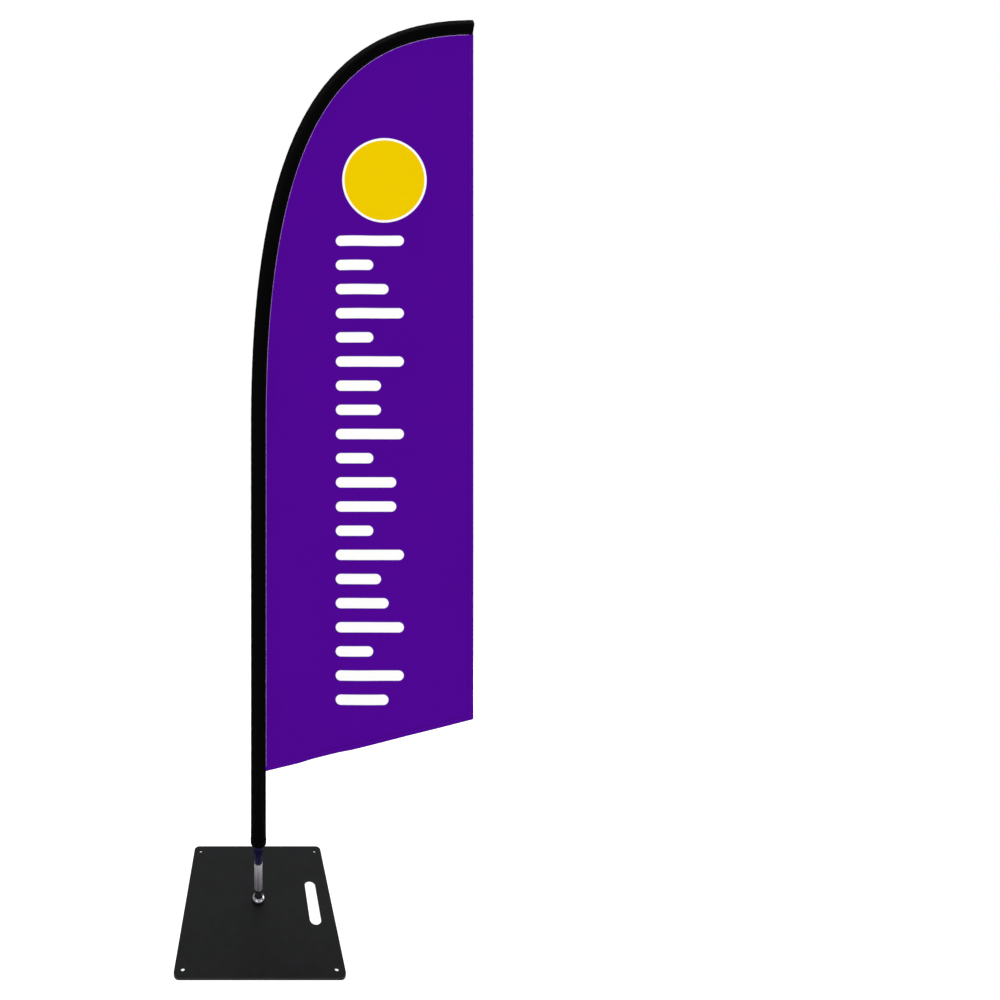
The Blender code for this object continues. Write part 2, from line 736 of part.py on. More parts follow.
def add_sleeve(flag_top, looks):
    """The pole sleeve: a straight length, and the length that follows the bend."""
    aside = Vector((1, 0, 0))
    heights = (
        (SLEEVE_MOUTH_Z, SLEEVE_HALF_WIDTH),
        (SLEEVE_MOUTH_Z + MOUTH_ROUND_LENGTH, SLEEVE_HALF_WIDTH),
        (SLEEVE_MOUTH_Z + MOUTH_ROUND_LENGTH + MOUTH_TAPER_LENGTH, SLEEVE_POLE_HALF_THICKNESS),
        (BEND_START_Z - GAP, SLEEVE_POLE_HALF_THICKNESS),
    )
    outer = [(Vector((0, 0, z)), aside, SLEEVE_HALF_WIDTH, half) for z, half in heights]
    straight = swept_bmesh(outer, inside_of(outer), SLEEVE_SIDES)
    add_piece("sleeve_lower", straight, looks["sleeve"], flag_top)

    outer = []
    for t in bend_ts() + [1.0]:
        point, inwards = bend_frame(t)
        outer.append((point, inwards, SLEEVE_HALF_WIDTH, sleeve_thickness_at(t)))
    bent = swept_bmesh(outer, inside_of(outer), SLEEVE_SIDES)
    add_piece("sleeve_upper", bent, looks["sleeve"], flag_top)

    elastic_bottom = SLEEVE_MOUTH_Z + ELASTIC_INSET
    elastic = ring_profile(
        ELASTIC_RADIUS - ELASTIC_THICKNESS,
        ELASTIC_RADIUS,
        elastic_bottom,
        elastic_bottom + ELASTIC_WIDTH,
    )
    add_turned("cuff_elastic", elastic, looks["rubber"], flag_top)

    half_width = SLEEVE_HALF_WIDTH - SLEEVE_WALL - SLIP
    bore = TIP_ROD_END_RADIUS + FIT + TIP_CAP_WALL + SLIP
    places = (
        (POCKET_LENGTH, half_width, POCKET_HALF_THICKNESS, bore),
        (POCKET_FLOOR, half_width, POCKET_HALF_THICKNESS, bore),
        (GAP, half_width, POCKET_HALF_THICKNESS, None),
    )
    add_piece("tip_pocket", blind_socket(places, SLEEVE_SIDES), looks["webbing"], flag_top)


def inside_of(stations):
    return [
        (point, inwards, width - SLEEVE_WALL, thickness - SLEEVE_WALL)
        for point, inwards, width, thickness in stations
    ]


def blind_socket(places, sides):
    """A plug on the bend's straight end with a blind bore: (back, width, thickness, bore)."""
    made = bmesh.new()
    rings = []
    holes = []
    for back, half_width, half_thickness, bore in places:
        point, inwards = straight_end_frame(back)
        rings.append(section_loop(made, point, inwards, half_width, half_thickness, sides))
        if bore:
            holes.append(section_loop(made, point, inwards, bore, bore, sides))
    for first, second in zip(rings, rings[1:]):
        join_loops(made, first, second)
    join_loops(made, holes[0], holes[1])
    join_loops(made, rings[0], holes[0])
    made.faces.new(rings[-1])
    made.faces.new(holes[-1])
    return made


def rod_radius_at(t):
    return TIP_ROD_RADIUS * (1 - t) + TIP_ROD_END_RADIUS * t


def rod_radius_near_end(back):
    """The rod's radius on the straight end, where it tapers to its own end."""
    share = (POCKET_LENGTH - back) / (POCKET_LENGTH - TIP_ROD_END_BACK)
    return rod_radius_at(straight_end_t()) * (1 - share) + TIP_ROD_END_RADIUS * share


def add_tip(flag_top, looks):
    """The tapered rod that bends inside the sleeve, with its stop ring and end cap."""
    aside = Vector((1, 0, 0))
    plug_end = Vector((0, 0, TIP_JOINT_Z - PLUG_LENGTH))
    stations = [(plug_end, aside, TIP_ROD_RADIUS, TIP_ROD_RADIUS)]
    for t in bend_ts():
        radius = rod_radius_at(t)
        stations.append((*bend_frame(t), radius, radius))
    rod_end = straight_end_frame(TIP_ROD_END_BACK)
    stations.append((*rod_end, TIP_ROD_END_RADIUS, TIP_ROD_END_RADIUS))
    add_piece("tip_rod", swept_bmesh(stations, [], ROD_SIDES), looks["composite"], flag_top)

    stop = ring_profile(
        TIP_ROD_RADIUS + FIT,
        MIDDLE_TUBE_RADIUS,
        TIP_JOINT_Z + GAP,
        TIP_JOINT_Z + GAP + STOP_RING_LENGTH,
    )
    add_turned("tip_stop_ring", stop, looks["aluminium"], flag_top)

    outside = TIP_ROD_END_RADIUS + FIT + TIP_CAP_WALL
    mouth = TIP_ROD_END_BACK + TIP_CAP_LENGTH
    places = (
        (mouth, outside, outside, rod_radius_near_end(mouth) + FIT),
        (TIP_ROD_END_BACK - GAP, outside, outside, TIP_ROD_END_RADIUS + FIT),
        (TIP_ROD_END_BACK - TIP_CAP_END, outside, outside, None),
    )
    add_piece("tip_cap", blind_socket(places, ROD_SIDES), looks["plastic"], flag_top)


def panel_outline():
    """Corners of the printed panel in the XZ plane, up the sleeve side and round."""
    outline = [(PANEL_OFFSET, PLATE_TOP + TAIL_HEIGHT)]
    for t in bend_ts() + [1.0]:
        point, inwards = bend_frame(t)
        edge = point + inwards * PANEL_OFFSET
        outline.append((edge.x, edge.z))
    outline.append((FLAG_REACH, PLATE_TOP + FREE_CORNER_HEIGHT))
    return outline


def add_layer(name, centre_y, look, flag_top):
    layer = bmesh.new()
    front = centre_y - LAYER_THICKNESS / 2
    face = layer.faces.new([layer.verts.new((x, front, z)) for x, z in panel_outline()])
    grown = bmesh.ops.extrude_face_region(layer, geom=[face])["geom"]
    moved = [part for part in grown if isinstance(part, bmesh.types.BMVert)]
    bmesh.ops.translate(layer, verts=moved, vec=(0, LAYER_THICKNESS, 0))
    add_piece(name, layer, look, flag_top)


def make_looks():
    return {
        "plate": make_material("powder_coated_steel", (0.018, 0.019, 0.020), 0.5, 0.3),
        "zinc": make_material("zinc_plated_steel", (0.55, 0.56, 0.56), 0.35, 1.0),
        "chrome": make_material("chrome", (0.62, 0.61, 0.62), 0.12, 1.0),
        "black_steel": make_material("black_steel", (0.02, 0.02, 0.02), 0.4, 0.8),
        "steel": make_material("steel", (0.5, 0.5, 0.5), 0.35, 1.0),
        "bearing_steel": make_material("bearing_steel", (0.6, 0.6, 0.62), 0.2, 1.0),
        "nylon": make_material("cage_nylon", (0.7, 0.68, 0.6), 0.5),
        "rubber": make_material("rubber", (0.01, 0.01, 0.01), 0.85),
        "navy": make_material("navy_nylon", (0.008, 0.006, 0.045), 0.45),
        "composite": make_material("glass_fibre", (0.02, 0.02, 0.022), 0.4),
        "aluminium": make_material("aluminium", (0.6, 0.6, 0.62), 0.35, 1.0),
        "plastic": make_material("black_plastic", (0.012, 0.012, 0.012), 0.5),
        "sleeve": make_material("sleeve_cloth", (0.002, 0.002, 0.002), 0.9),
        "webbing": make_material("webbing", (0.006, 0.006, 0.006), 0.9),
        "print": make_material("printed_polyester", (0.078, 0.0024, 0.287), 0.8),
        "liner": make_material("liner_cloth", (0.25, 0.25, 0.26), 0.9),
    }


def main():
    clear_scene()
    looks = make_looks()
    base = add_body("base")
    rotor = add_body("rotor", LOWER_BEARING_Z, base)
    lower_cage = add_body("lower_cage", LOWER_BEARING_Z, base)
    upper_cage = add_body("upper_cage", UPPER_BEARING_Z, base)
    lower_pole = add_body("lower_pole", PLATE_TOP + SPINDLE_TOP_HEIGHT, rotor)
    middle_pole = add_body("middle_pole", LOWER_JOINT_Z, lower_pole)
    flag_top = add_body("flag_top", TIP_JOINT_Z, middle_pole)
    add_base(base, looks)
    add_bearing("lower", LOWER_BEARING_Z, base, rotor, lower_cage, looks)
    add_bearing("upper", UPPER_BEARING_Z, base, rotor, upper_cage, looks)
    add_rotor(rotor, looks)
    add_lower_pole(lower_pole, looks)
    add_middle_pole(middle_pole, looks)
    add_tip(flag_top, looks)
    add_sleeve(flag_top, looks)
    pitch = LAYER_THICKNESS + GAP
    add_layer("front_panel", -pitch, looks["print"], flag_top)
    add_layer("blockout_liner", 0.0, looks["liner"], flag_top)
    add_layer("back_panel", pitch, looks["print"], flag_top)


main()
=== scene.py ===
"""Feather flag with pole: an add-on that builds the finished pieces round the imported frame.

Sizes are in metres and Z is up. The spindle stands on the Z axis, the flag's free edge points
to +X and its front faces -Y.
"""

import math

import bmesh
import bpy
import numpy as np
from bpy.props import FloatProperty, FloatVectorProperty, IntProperty, PointerProperty
from mathutils import Matrix, Vector
from mathutils.bvhtree import BVHTree
from mathutils.geometry import delaunay_2d_cdt


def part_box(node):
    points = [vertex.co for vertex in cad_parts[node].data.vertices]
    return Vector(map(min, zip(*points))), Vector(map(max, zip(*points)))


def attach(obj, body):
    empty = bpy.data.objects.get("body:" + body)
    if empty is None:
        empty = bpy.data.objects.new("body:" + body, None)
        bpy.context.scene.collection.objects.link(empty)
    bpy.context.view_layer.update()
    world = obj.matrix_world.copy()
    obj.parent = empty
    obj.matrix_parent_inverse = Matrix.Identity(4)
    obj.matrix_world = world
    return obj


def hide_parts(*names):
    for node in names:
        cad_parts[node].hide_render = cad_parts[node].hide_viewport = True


bl_info = {
    "name": "Feather Flag Builder",
    "version": (1, 0, 0),
    "blender": (4, 5, 0),
    "location": "View3D > Sidebar > Flag",
    "description": "Builds a feather flag, its pole and its spindle stand round a packed frame",
    "category": "Object",
}

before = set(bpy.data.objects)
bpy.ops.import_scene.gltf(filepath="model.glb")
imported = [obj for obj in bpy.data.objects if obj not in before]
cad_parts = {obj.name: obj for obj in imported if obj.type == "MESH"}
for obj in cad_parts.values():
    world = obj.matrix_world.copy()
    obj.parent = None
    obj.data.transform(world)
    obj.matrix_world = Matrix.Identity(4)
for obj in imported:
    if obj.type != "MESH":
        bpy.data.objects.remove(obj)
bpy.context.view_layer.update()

FLOOR_SIDE = 24
SENSOR_WIDTH = 36.0
GAP = 0.0003  # between pieces that rest on each other
FIT = 0.0002  # clearance round what fits in a bore or a groove
MERGE = 1e-6
TURNED_SIDES = 64
HOLE_SIDES = 48
STITCH_SIDES = 6
AXLE_RADIUS = 0.0048  # shank of the bolt that the spindle turns on
CLOTH_STEP = 0.010  # spacing of the points in the printed cloth
EDGE_ROOM = 0.55  # how near its edge a point may lie, as a share of that spacing
SLEEVE_STEP = 0.006  # spacing of the rings in the sleeve
SLEEVE_SIDES = 56
POCKET_SIDES = 40
BEND_STEPS = 2000  # for measuring along the bend
ROOT_FULLNESS = 0.817  # the bend's lower handle as a share of its rise
TIP_FULLNESS = 0.572  # the bend's upper handle as a share of its reach
POCKET_LENGTH = 0.034  # the straight end of the bend, which holds the tip pocket
CLOTH_FRAMES = 45
CLOTH_FEEL = {
    "quality": 6,
    "mass": 0.02,
    "air_damping": 2.0,
    "tension_stiffness": 25,
    "compression_stiffness": 25,
    "shear_stiffness": 12,
    "bending_stiffness": 0.6,
    "tension_damping": 12,
    "compression_damping": 12,
    "shear_damping": 12,
    "shrink_min": -0.004,
}
EASING_ROUNDS = 24
RIPPLE_RAMP = 0.16  # from the seam to where the cloth may hang out of its plane
MOST_SLIP = 0.0015  # how far the cloth may stretch within its plane
INK_BLEED = 0.0006  # how far ink bleeds at an edge
DISC_RIM = 0.006  # width of the white rim round the disc
SHORTEST_BAR = 0.55  # as a share of the longest
SEAM_ROWS = (0.0188, 0.0156)  # the seam's two rows of stitches, inwards from the pole line
SEAM_START = 0.100  # above the mouth, where the seam's stitching starts
MOUTH_ROWS = (0.0040, 0.0118)  # the mouth hem's two rows of stitches, above its edge
MOUTH_STITCHES = 36
HEM_TAPE = 0.0003  # thickness of the tape that binds the edge
HEM_STAND = 0.00035  # from the cloth's face to the inside of that tape
HEM_THREAD_STAND = 0.00075  # from the cloth's face to the middle of the hem's stitches
HEM_ROW = 0.78  # the bound edge's row of stitches, as a share of its width
DENTS = 0.00032  # height of the soft dents round the sleeve
FOLD_WAVE = 0.00012  # height of the waves along its outer fold
STRAIN = 0.0006  # height of the creases inside the bend
PLEAT = 0.0009  # height of the gathers at the mouth
HEM_STEP = 0.00045  # how far the mouth's folded hem stands out

SIZES = {node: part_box(node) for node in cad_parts}


def low(node):
    return SIZES[node][0]


def high(node):
    return SIZES[node][1]


# ---------------------------------------------------------------- settings


def a_length(label, description, default):
    return FloatProperty(
        name=label,
        description=description,
        default=default,
        min=0.0,
        precision=4,
        subtype="DISTANCE",
        unit="LENGTH",
    )


def a_colour(label, description, default):
    return FloatVectorProperty(
        name=label, description=description, default=default, min=0.0, max=1.0, subtype="COLOR"
    )


class PlateSettings(bpy.types.PropertyGroup):
    side: a_length("Side", "Side of the square steel plate", 2 * high("base_plate").x)
    thickness: a_length("Thickness", "Thickness of the plate", high("base_plate").z)
    corner: a_length("Corner radius", "Radius of the plate's four corners", 0.014)
    edge: a_length("Edge radius", "Rounding of the plate's sharp edges", 0.0008)
    peg_hole: a_length("Peg hole radius", "Radius of the four ground-peg holes", 0.0054)
    peg_inset: a_length("Peg hole inset", "From a peg hole's centre to the edges", 0.020)
    slot_width: a_length("Handle width", "Width of the carrying slot", 0.030)
    slot_length: a_length("Handle length", "Length of the carrying slot", 0.140)
    slot_inset: a_length("Handle inset", "From the slot's centreline to the edge", 0.051)
    coat: a_colour("Coating", "Colour of the powder coating", (0.0092, 0.0094, 0.0096))


class SpindleSettings(bpy.types.PropertyGroup):
    cup_radius: a_length("Cup radius", "Radius of the seat cup", high("seat_cup").x)
    nut_flats: a_length("Nut size", "Clamp nut's size across flats", 0.017)
    radius: a_length("Spindle radius", "Outside of the turning spindle", 0.0110)
    pin_radius: a_length("Pin radius", "Radius of the pin that holds the pole", 0.007)
    metal: a_colour("Chrome", "Colour of the chrome plating", (0.40, 0.38, 0.41))
    nut: a_colour("Black steel", "Colour of the black oxide nut", (0.016, 0.016, 0.017))


class PoleSettings(bpy.types.PropertyGroup):
    neck: a_length("Neck radius", "Radius of the foot's neck", 0.0100)
    tube_radius: a_length("Tube radius", "Outside of the lower tube", high("lower_tube").x)
    tube_wall: a_length("Tube wall", "Wall of the lower tube", 0.0015)
    moulding: a_colour("Foot", "Colour of the moulded foot", (0.0040, 0.0030, 0.026))
    composite: a_colour("Tubes", "Colour of the wound tubes", (0.016, 0.016, 0.018))


class SleeveSettings(bpy.types.PropertyGroup):
    width: a_length("Width", "Width of the pole sleeve laid flat", 0.0415)
    wall: a_length("Cloth thickness", "Thickness of the sleeve cloth", 0.0008)
    pole_half: a_length("Half thickness", "Half the sleeve's thickness on the pole", 0.0135)
    tip_half: a_length("Tip half thickness", "Half its thickness at the tip", 0.0085)
    flange: a_length("Seam flange", "Width of the flat seam beside the panel", 0.0070)
    flange_half: a_length("Seam half thickness", "Half the seam's thickness", 0.0012)
    hem: a_length("Mouth hem", "Height of the folded hem at the mouth", 0.014)
    pucker: a_length("Pucker", "Height of the puckers that the stitching pulls", 0.00022)
    pleats: IntProperty(
        name="Pleats", description="Gathers round the sleeve's mouth", default=11, min=0
    )
    cloth: a_colour("Cloth", "Colour of the sleeve", (0.0010, 0.0010, 0.0011))


class PanelSettings(bpy.types.PropertyGroup):
    layer: a_length("Layer thickness", "Thickness of each layer of cloth", 0.0005)
    pitch: a_length("Layer pitch", "From one layer's middle to the next", 0.0008)
    ripple: a_length("Ripple limit", "How far the cloth may hang out of its plane", 0.0030)
    hem_width: a_length("Hem width", "Width of the bound edge", 0.012)
    stitch: a_length("Stitch pitch", "From one stitch to the next", 0.0050)
    ground: a_colour("Ground", "Printed ground colour", (0.0714, 0.0021, 0.257))
    disc: a_colour("Disc", "Printed colour of the disc", (0.787, 0.535, 0.0006))
    bars: a_colour("Bars", "Printed colour of the bars", (0.91, 0.90, 0.88))
    disc_radius: a_length("Disc radius", "Radius of the printed disc", 0.110)
    disc_x: a_length("Disc across", "Disc centre from the spindle axis", 0.3465)
    disc_z: a_length("Disc height", "Height of the disc's centre", 1.990)
    bars_x: a_length("Bars across", "Where the bars start", 0.2130)
    bars_length: a_length("Bar length", "Length of the longest bar", 0.1870)
    bars_bottom: a_length("Bars bottom", "Height of the lowest bar", 0.5600)
    bars_pitch: a_length("Bar pitch", "From one bar to the next", 0.0665)
    bar_half: a_length("Bar half height", "Half the height of a bar", 0.0140)
    bar_count: IntProperty(name="Bars", description="How many bars", default=20, min=1)


class StageSettings(bpy.types.PropertyGroup):
    camera_distance: a_length("Camera distance", "In front of the flag's plane", 1.192)
    camera_height: a_length("Camera height", "Height of the level camera", 1.055)
    camera_side: FloatProperty(
        name="Camera side", description="Along X from the pole", default=-0.020, unit="LENGTH"
    )
    lens: FloatProperty(
        name="Lens", description="Focal length", default=15.58, min=1.0, unit="CAMERA"
    )
    shift_x: FloatProperty(name="Shift across", description="Lens shift", default=0.2488)
    shift_y: FloatProperty(name="Shift up", description="Lens shift", default=0.020)
    floor: a_colour("Floor", "Colour of the floor", (0.76, 0.76, 0.76))


# ---------------------------------------------------------------- modelling by hand


def start(name, add, **where):
    """Deselects everything, adds a primitive and gives it its name."""
    bpy.ops.object.select_all(action="DESELECT")
    add(**where)
    piece = bpy.context.object
    piece.name = piece.data.name = name
    return piece


def cylinder(name, sides, radius, depth, location=(0, 0, 0), rotation=(0, 0, 0)):
    return start(
        name,
        bpy.ops.mesh.primitive_cylinder_add,
        vertices=sides,
        radius=radius,
        depth=depth,
        location=location,
        rotation=rotation,
    )


def edit_mode(on=True):
    bpy.ops.object.mode_set(mode="EDIT" if on else "OBJECT")


def pick(piece, kind, test):
    """In edit mode, selects only the verts, edges or faces that pass a test."""
    bpy.ops.mesh.select_mode(type=kind)
    bpy.ops.mesh.select_all(action="DESELECT")
    shape = bmesh.from_edit_mesh(piece.data)
    parts = {"VERT": shape.verts, "EDGE": shape.edges, "FACE": shape.faces}[kind]
    for part in parts:
        if test(part):
            part.select_set(True)
    bmesh.update_edit_mesh(piece.data)


def apply_modifiers(piece):
    bpy.context.view_layer.objects.active = piece
    for modifier in list(piece.modifiers):
        bpy.ops.object.modifier_apply(modifier=modifier.name)


def cut(piece, cutter, operation="DIFFERENCE"):
    """Cuts a piece with another one, which is then thrown away."""
    modifier = piece.modifiers.new("cut", "BOOLEAN")
    modifier.operation = operation
    modifier.solver = "EXACT"
    modifier.object = cutter
    apply_modifiers(piece)
    bpy.data.objects.remove(cutter, do_unlink=True)


def thicken(piece, thickness, offset, even=False):
    """Gives a sheet its wall: inwards for an offset of -1, outwards for 1, both ways for 0."""
    wall = piece.modifiers.new("wall", "SOLIDIFY")
    wall.thickness = thickness
    wall.offset = offset
    wall.use_even_offset = even
    wall.use_quality_normals = even
    apply_modifiers(piece)


def round_edges(piece, width, segments=3, angle=40):
    """Rounds the sharp edges that are left."""
    modifier = piece.modifiers.new("rounding", "BEVEL")
    modifier.width = width
    modifier.segments = segments
    modifier.limit_method = "ANGLE"
    modifier.angle_limit = math.radians(angle)
    modifier.use_clamp_overlap = True
    apply_modifiers(piece)


def turned(name, section, sides=TURNED_SIDES, closed=True):
    """Draws a section of (radius, height) points and spins it about the spindle's axis."""
    piece = start(name, bpy.ops.mesh.primitive_plane_add, size=0.01, location=(0, 0, 0))
    edit_mode()
    bpy.ops.mesh.merge(type="CENTER")
    bpy.ops.transform.translate(value=(section[0][0], 0, section[0][1]))
    corners = list(section) + ([section[0]] if closed else [])
    for (r0, z0), (r1, z1) in zip(corners, corners[1:]):
        bpy.ops.mesh.extrude_region_move(
            TRANSFORM_OT_translate={"value": (r1 - r0, 0, z1 - z0)}
        )
    bpy.ops.mesh.select_all(action="SELECT")
    bpy.ops.mesh.spin(steps=sides, angle=2 * math.pi, center=(0, 0, 0), axis=(0, 0, 1))
    edit_mode(False)
    outward(piece)
    return piece


def filleted(corners, segments=5):
    """Section points from (radius, height, fillet) corners, each rounded by its fillet."""
    points = []
    for i, (radius, height, fillet) in enumerate(corners):
        here = Vector((radius, height))
        if fillet <= 0:
            points.append((radius, height))
            continue
        back = (Vector(corners[i - 1][:2]) - here).normalized()
        onward = (Vector(corners[(i + 1) % len(corners)][:2]) - here).normalized()
        half = back.angle(onward) / 2
        reach = fillet / math.tan(half)
        centre = here + (back + onward).normalized() * (fillet / math.sin(half))
        first, last = here + back * reach - centre, here + onward * reach - centre
        for k in range(segments + 1):
            out = first.lerp(last, k / segments).normalized() * fillet
            points.append(tuple(centre + out))
    return points


def arc(centre_radius, centre_height, radius, first, last, segments):
    """Section points on an arc, with angles in degrees from the +radius side."""
    turns = [math.radians(first + (last - first) * k / segments) for k in range(segments + 1)]
    return [
        (centre_radius + radius * math.cos(a), centre_height + radius * math.sin(a))
        for a in turns
    ]


def from_points(name, points, faces):
    """A mesh object from its points and faces, for cloth, webbing and stitching."""
    mesh = bpy.data.meshes.new(name)
    mesh.from_pydata([tuple(p) for p in points], [], [tuple(f) for f in faces])
    mesh.update()
    piece = bpy.data.objects.new(name, mesh)
    bpy.context.scene.collection.objects.link(piece)
    bpy.ops.object.select_all(action="DESELECT")
    bpy.context.view_layer.objects.active = piece
    piece.select_set(True)
    return piece


def ring_faces(rows, sides):
    """The quads between rows of points that run round a tube."""
    faces = []
    for row in range(rows - 1):
        a, b = row * sides, (row + 1) * sides
        for i in range(sides):
            j = (i + 1) % sides
            faces.append((a + i, a + j, b + j, b + i))
    return faces


def outward(piece):
    """Merges doubles and turns every face outwards."""
    bpy.context.view_layer.objects.active = piece
    edit_mode()
    bpy.ops.mesh.select_all(action="SELECT")
    bpy.ops.mesh.remove_doubles(threshold=MERGE)
    bpy.ops.mesh.normals_make_consistent(inside=False)
    edit_mode(False)


def finish_piece(piece, body, material, replaces, angle, flat_faces=False):
    """Puts a piece's place in its mesh, smooths it, and seats it on its body."""
    bpy.ops.object.select_all(action="DESELECT")
    bpy.context.view_layer.objects.active = piece
    piece.select_set(True)
    bpy.ops.object.transform_apply(location=True, rotation=True, scale=True)
    bpy.ops.object.shade_smooth_by_angle(angle=math.radians(angle))
    if flat_faces:
        evened = piece.modifiers.new("flat_faces", "WEIGHTED_NORMAL")
        evened.keep_sharp = True
        apply_modifiers(piece)
    piece.data.materials.clear()
    piece.data.materials.append(material)
    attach(piece, body)
    if replaces:
        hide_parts(*replaces)


# ---------------------------------------------------------------- material nodes


def new_look(name, **sockets):
    """A material with the shader's plain values set, and its node tree and shader."""
    material = bpy.data.materials.new(name)
    material.use_nodes = True
    shader = material.node_tree.nodes["Principled BSDF"]
    for socket, value in sockets.items():
        label = socket.replace("_", " ")
        shader.inputs[label].default_value = (*value, 1.0) if "Color" in label else value
    return material, material.node_tree, shader


def node(tree, kind, inputs=None, out=0, **settings):
    """Adds a node, sets its values or links, and gives back one of its outputs."""
    made = tree.nodes.new("ShaderNode" + kind)
    for key, value in settings.items():
        setattr(made, key, value)
    for key, value in (inputs or {}).items():
        if isinstance(value, bpy.types.NodeSocket):
            tree.links.new(value, made.inputs[key])
        else:
            made.inputs[key].default_value = value
    return made.outputs[out]


def sums(tree, operation, *values):
    return node(tree, "Math", dict(enumerate(values)), operation=operation)


def object_place(tree, scale=(1, 1, 1)):
    place = node(tree, "TexCoord", out="Object")
    return node(tree, "Mapping", {"Vector": place, "Scale": scale})


def noise(tree, vector, scale, detail=2.0, rough=0.5):
    return node(
        tree,
        "TexNoise",
        {"Vector": vector, "Scale": scale, "Detail": detail, "Roughness": rough},
    )


def between(tree, value, low_end, high_end, first=0.3, last=0.7):
    """Spreads a pattern's middle range over low_end to high_end."""
    inputs = {0: value, 1: first, 2: last, 3: low_end, 4: high_end}
    return node(tree, "MapRange", inputs)


def blend_colours(tree, share, first, last):
    made = tree.nodes.new("ShaderNodeMix")
    made.data_type = "RGBA"
    for key, value in ((0, share), (6, first), (7, last)):
        if isinstance(value, bpy.types.NodeSocket):
            tree.links.new(value, made.inputs[key])
        else:
            made.inputs[key].default_value = (*value, 1.0) if key else value
    return made.outputs[2]


def threads(tree, vector, pitch, direction):
    """Fine parallel ribs, one to each pitch."""
    scale = 2 * math.pi / (20 * pitch)
    return node(
        tree,
        "TexWave",
        {"Vector": vector, "Scale": scale, "Distortion": 0.0},
        out="Fac",
        wave_type="BANDS",
        bands_direction=direction,
    )


def set_bump(tree, shader, height, distance, strength):
    bump = node(tree, "Bump", {"Height": height, "Strength": strength, "Distance": distance})
    tree.links.new(bump, shader.inputs["Normal"])


def shade(colour, factor):
    return tuple(min(1.0, c * factor) for c in colour)


def vary_colour(tree, shader, share, colour, dark, light):
    """Lets a colour drift between two shades of itself."""
    drift = blend_colours(tree, share, shade(colour, dark), shade(colour, light))
    tree.links.new(drift, shader.inputs["Base Color"])


def vary_roughness(tree, shader, pattern, *spread):
    tree.links.new(between(tree, pattern, *spread), shader.inputs["Roughness"])


def powder_coat(colour):
    material, tree, shader = new_look(
        "powder_coat", Base_Color=colour, Specular_IOR_Level=0.10, Roughness=0.42
    )
    place = object_place(tree)
    mottle = noise(tree, place, 38.0, 4.0, 0.6)
    vary_colour(tree, shader, between(tree, mottle, 0, 1), colour, 0.86, 1.15)
    vary_roughness(tree, shader, noise(tree, place, 210.0), 0.38, 0.50)
    peel = sums(tree, "ADD", noise(tree, place, 520.0, 1.0), noise(tree, place, 1500.0, 1.0))
    set_bump(tree, shader, peel, 0.00006, 0.6)
    return material


def bright_metal(name, colour, roughness, streak_scale, contrast=(0.72, 1.2)):
    """A plated or turned metal whose colour is streaked by fine noise bands; streak_scale says
    which way they run. Where the contrast is strong, as on the spindle, these bands are painted
    reflections as well as turned lines.
    """
    material, tree, shader = new_look(
        name, Base_Color=colour, Metallic=1.0, Roughness=roughness, Specular_IOR_Level=0.5
    )
    place = object_place(tree, streak_scale)
    streaks_and_reflections = noise(tree, place, 1.0, 3.0, 0.6)
    # colour bands: turned lines, and with a strong contrast painted reflections too
    vary_colour(tree, shader, between(tree, streaks_and_reflections, 0, 1), colour, *contrast)
    vary_roughness(tree, shader, streaks_and_reflections, roughness * 0.75, roughness * 1.5)
    set_bump(tree, shader, streaks_and_reflections, 0.00002, 0.35)
    return material


def moulded_plastic(name, colour, roughness, specular=0.35):
    """Plastic or blackened steel with a fine moulded grain."""
    material, tree, shader = new_look(
        name, Base_Color=colour, Roughness=roughness, Specular_IOR_Level=specular
    )
    place = object_place(tree)
    clouds = noise(tree, place, 45.0, 3.0)
    vary_colour(tree, shader, between(tree, clouds, 0, 1), colour, 0.85, 1.2)
    vary_roughness(tree, shader, noise(tree, place, 160.0), roughness * 0.85, roughness * 1.15)
    set_bump(tree, shader, noise(tree, place, 900.0), 0.00004, 0.5)
    return material


def wound_composite(colour):
    """Glass-fibre tube: crossing helical winds under a clear resin."""
    material, tree, shader = new_look(
        "wound_composite", Base_Color=colour, Roughness=0.38, Specular_IOR_Level=0.45
    )
    place = node(tree, "TexCoord", out="Object")
    split = tree.nodes.new("ShaderNodeSeparateXYZ")
    tree.links.new(place, split.inputs[0])
    turn = sums(tree, "ARCTAN2", split.outputs[1], split.outputs[0])
    winds = []
    for sense in (1, -1):
        phase = sums(tree, "MULTIPLY_ADD", split.outputs[2], 900.0 * sense, turn)
        winds.append(sums(tree, "SINE", sums(tree, "MULTIPLY", phase, 2.0)))
    pattern = sums(tree, "MAXIMUM", *winds)
    vary_colour(tree, shader, between(tree, pattern, 0, 1, -0.2, 1.0), colour, 0.7, 1.5)
    vary_roughness(tree, shader, pattern, 0.44, 0.32, -0.2, 1.0)
    set_bump(tree, shader, pattern, 0.00003, 0.6)
    return material


def rubber(name, colour, rib_pitch):
    """Rubber or covered elastic, ribbed along its length."""
    material, tree, shader = new_look(
        name, Base_Color=colour, Roughness=0.8, Specular_IOR_Level=0.2, Sheen_Weight=0.05
    )
    place = object_place(tree)
    ribs = threads(tree, place, rib_pitch, "Z")
    dust = noise(tree, place, 300.0, 3.0)
    vary_colour(tree, shader, between(tree, dust, 0, 1), colour, 0.7, 1.8)
    vary_roughness(tree, shader, dust, 0.72, 0.9)
    set_bump(tree, shader, ribs, 0.00012, 0.8)
    return material


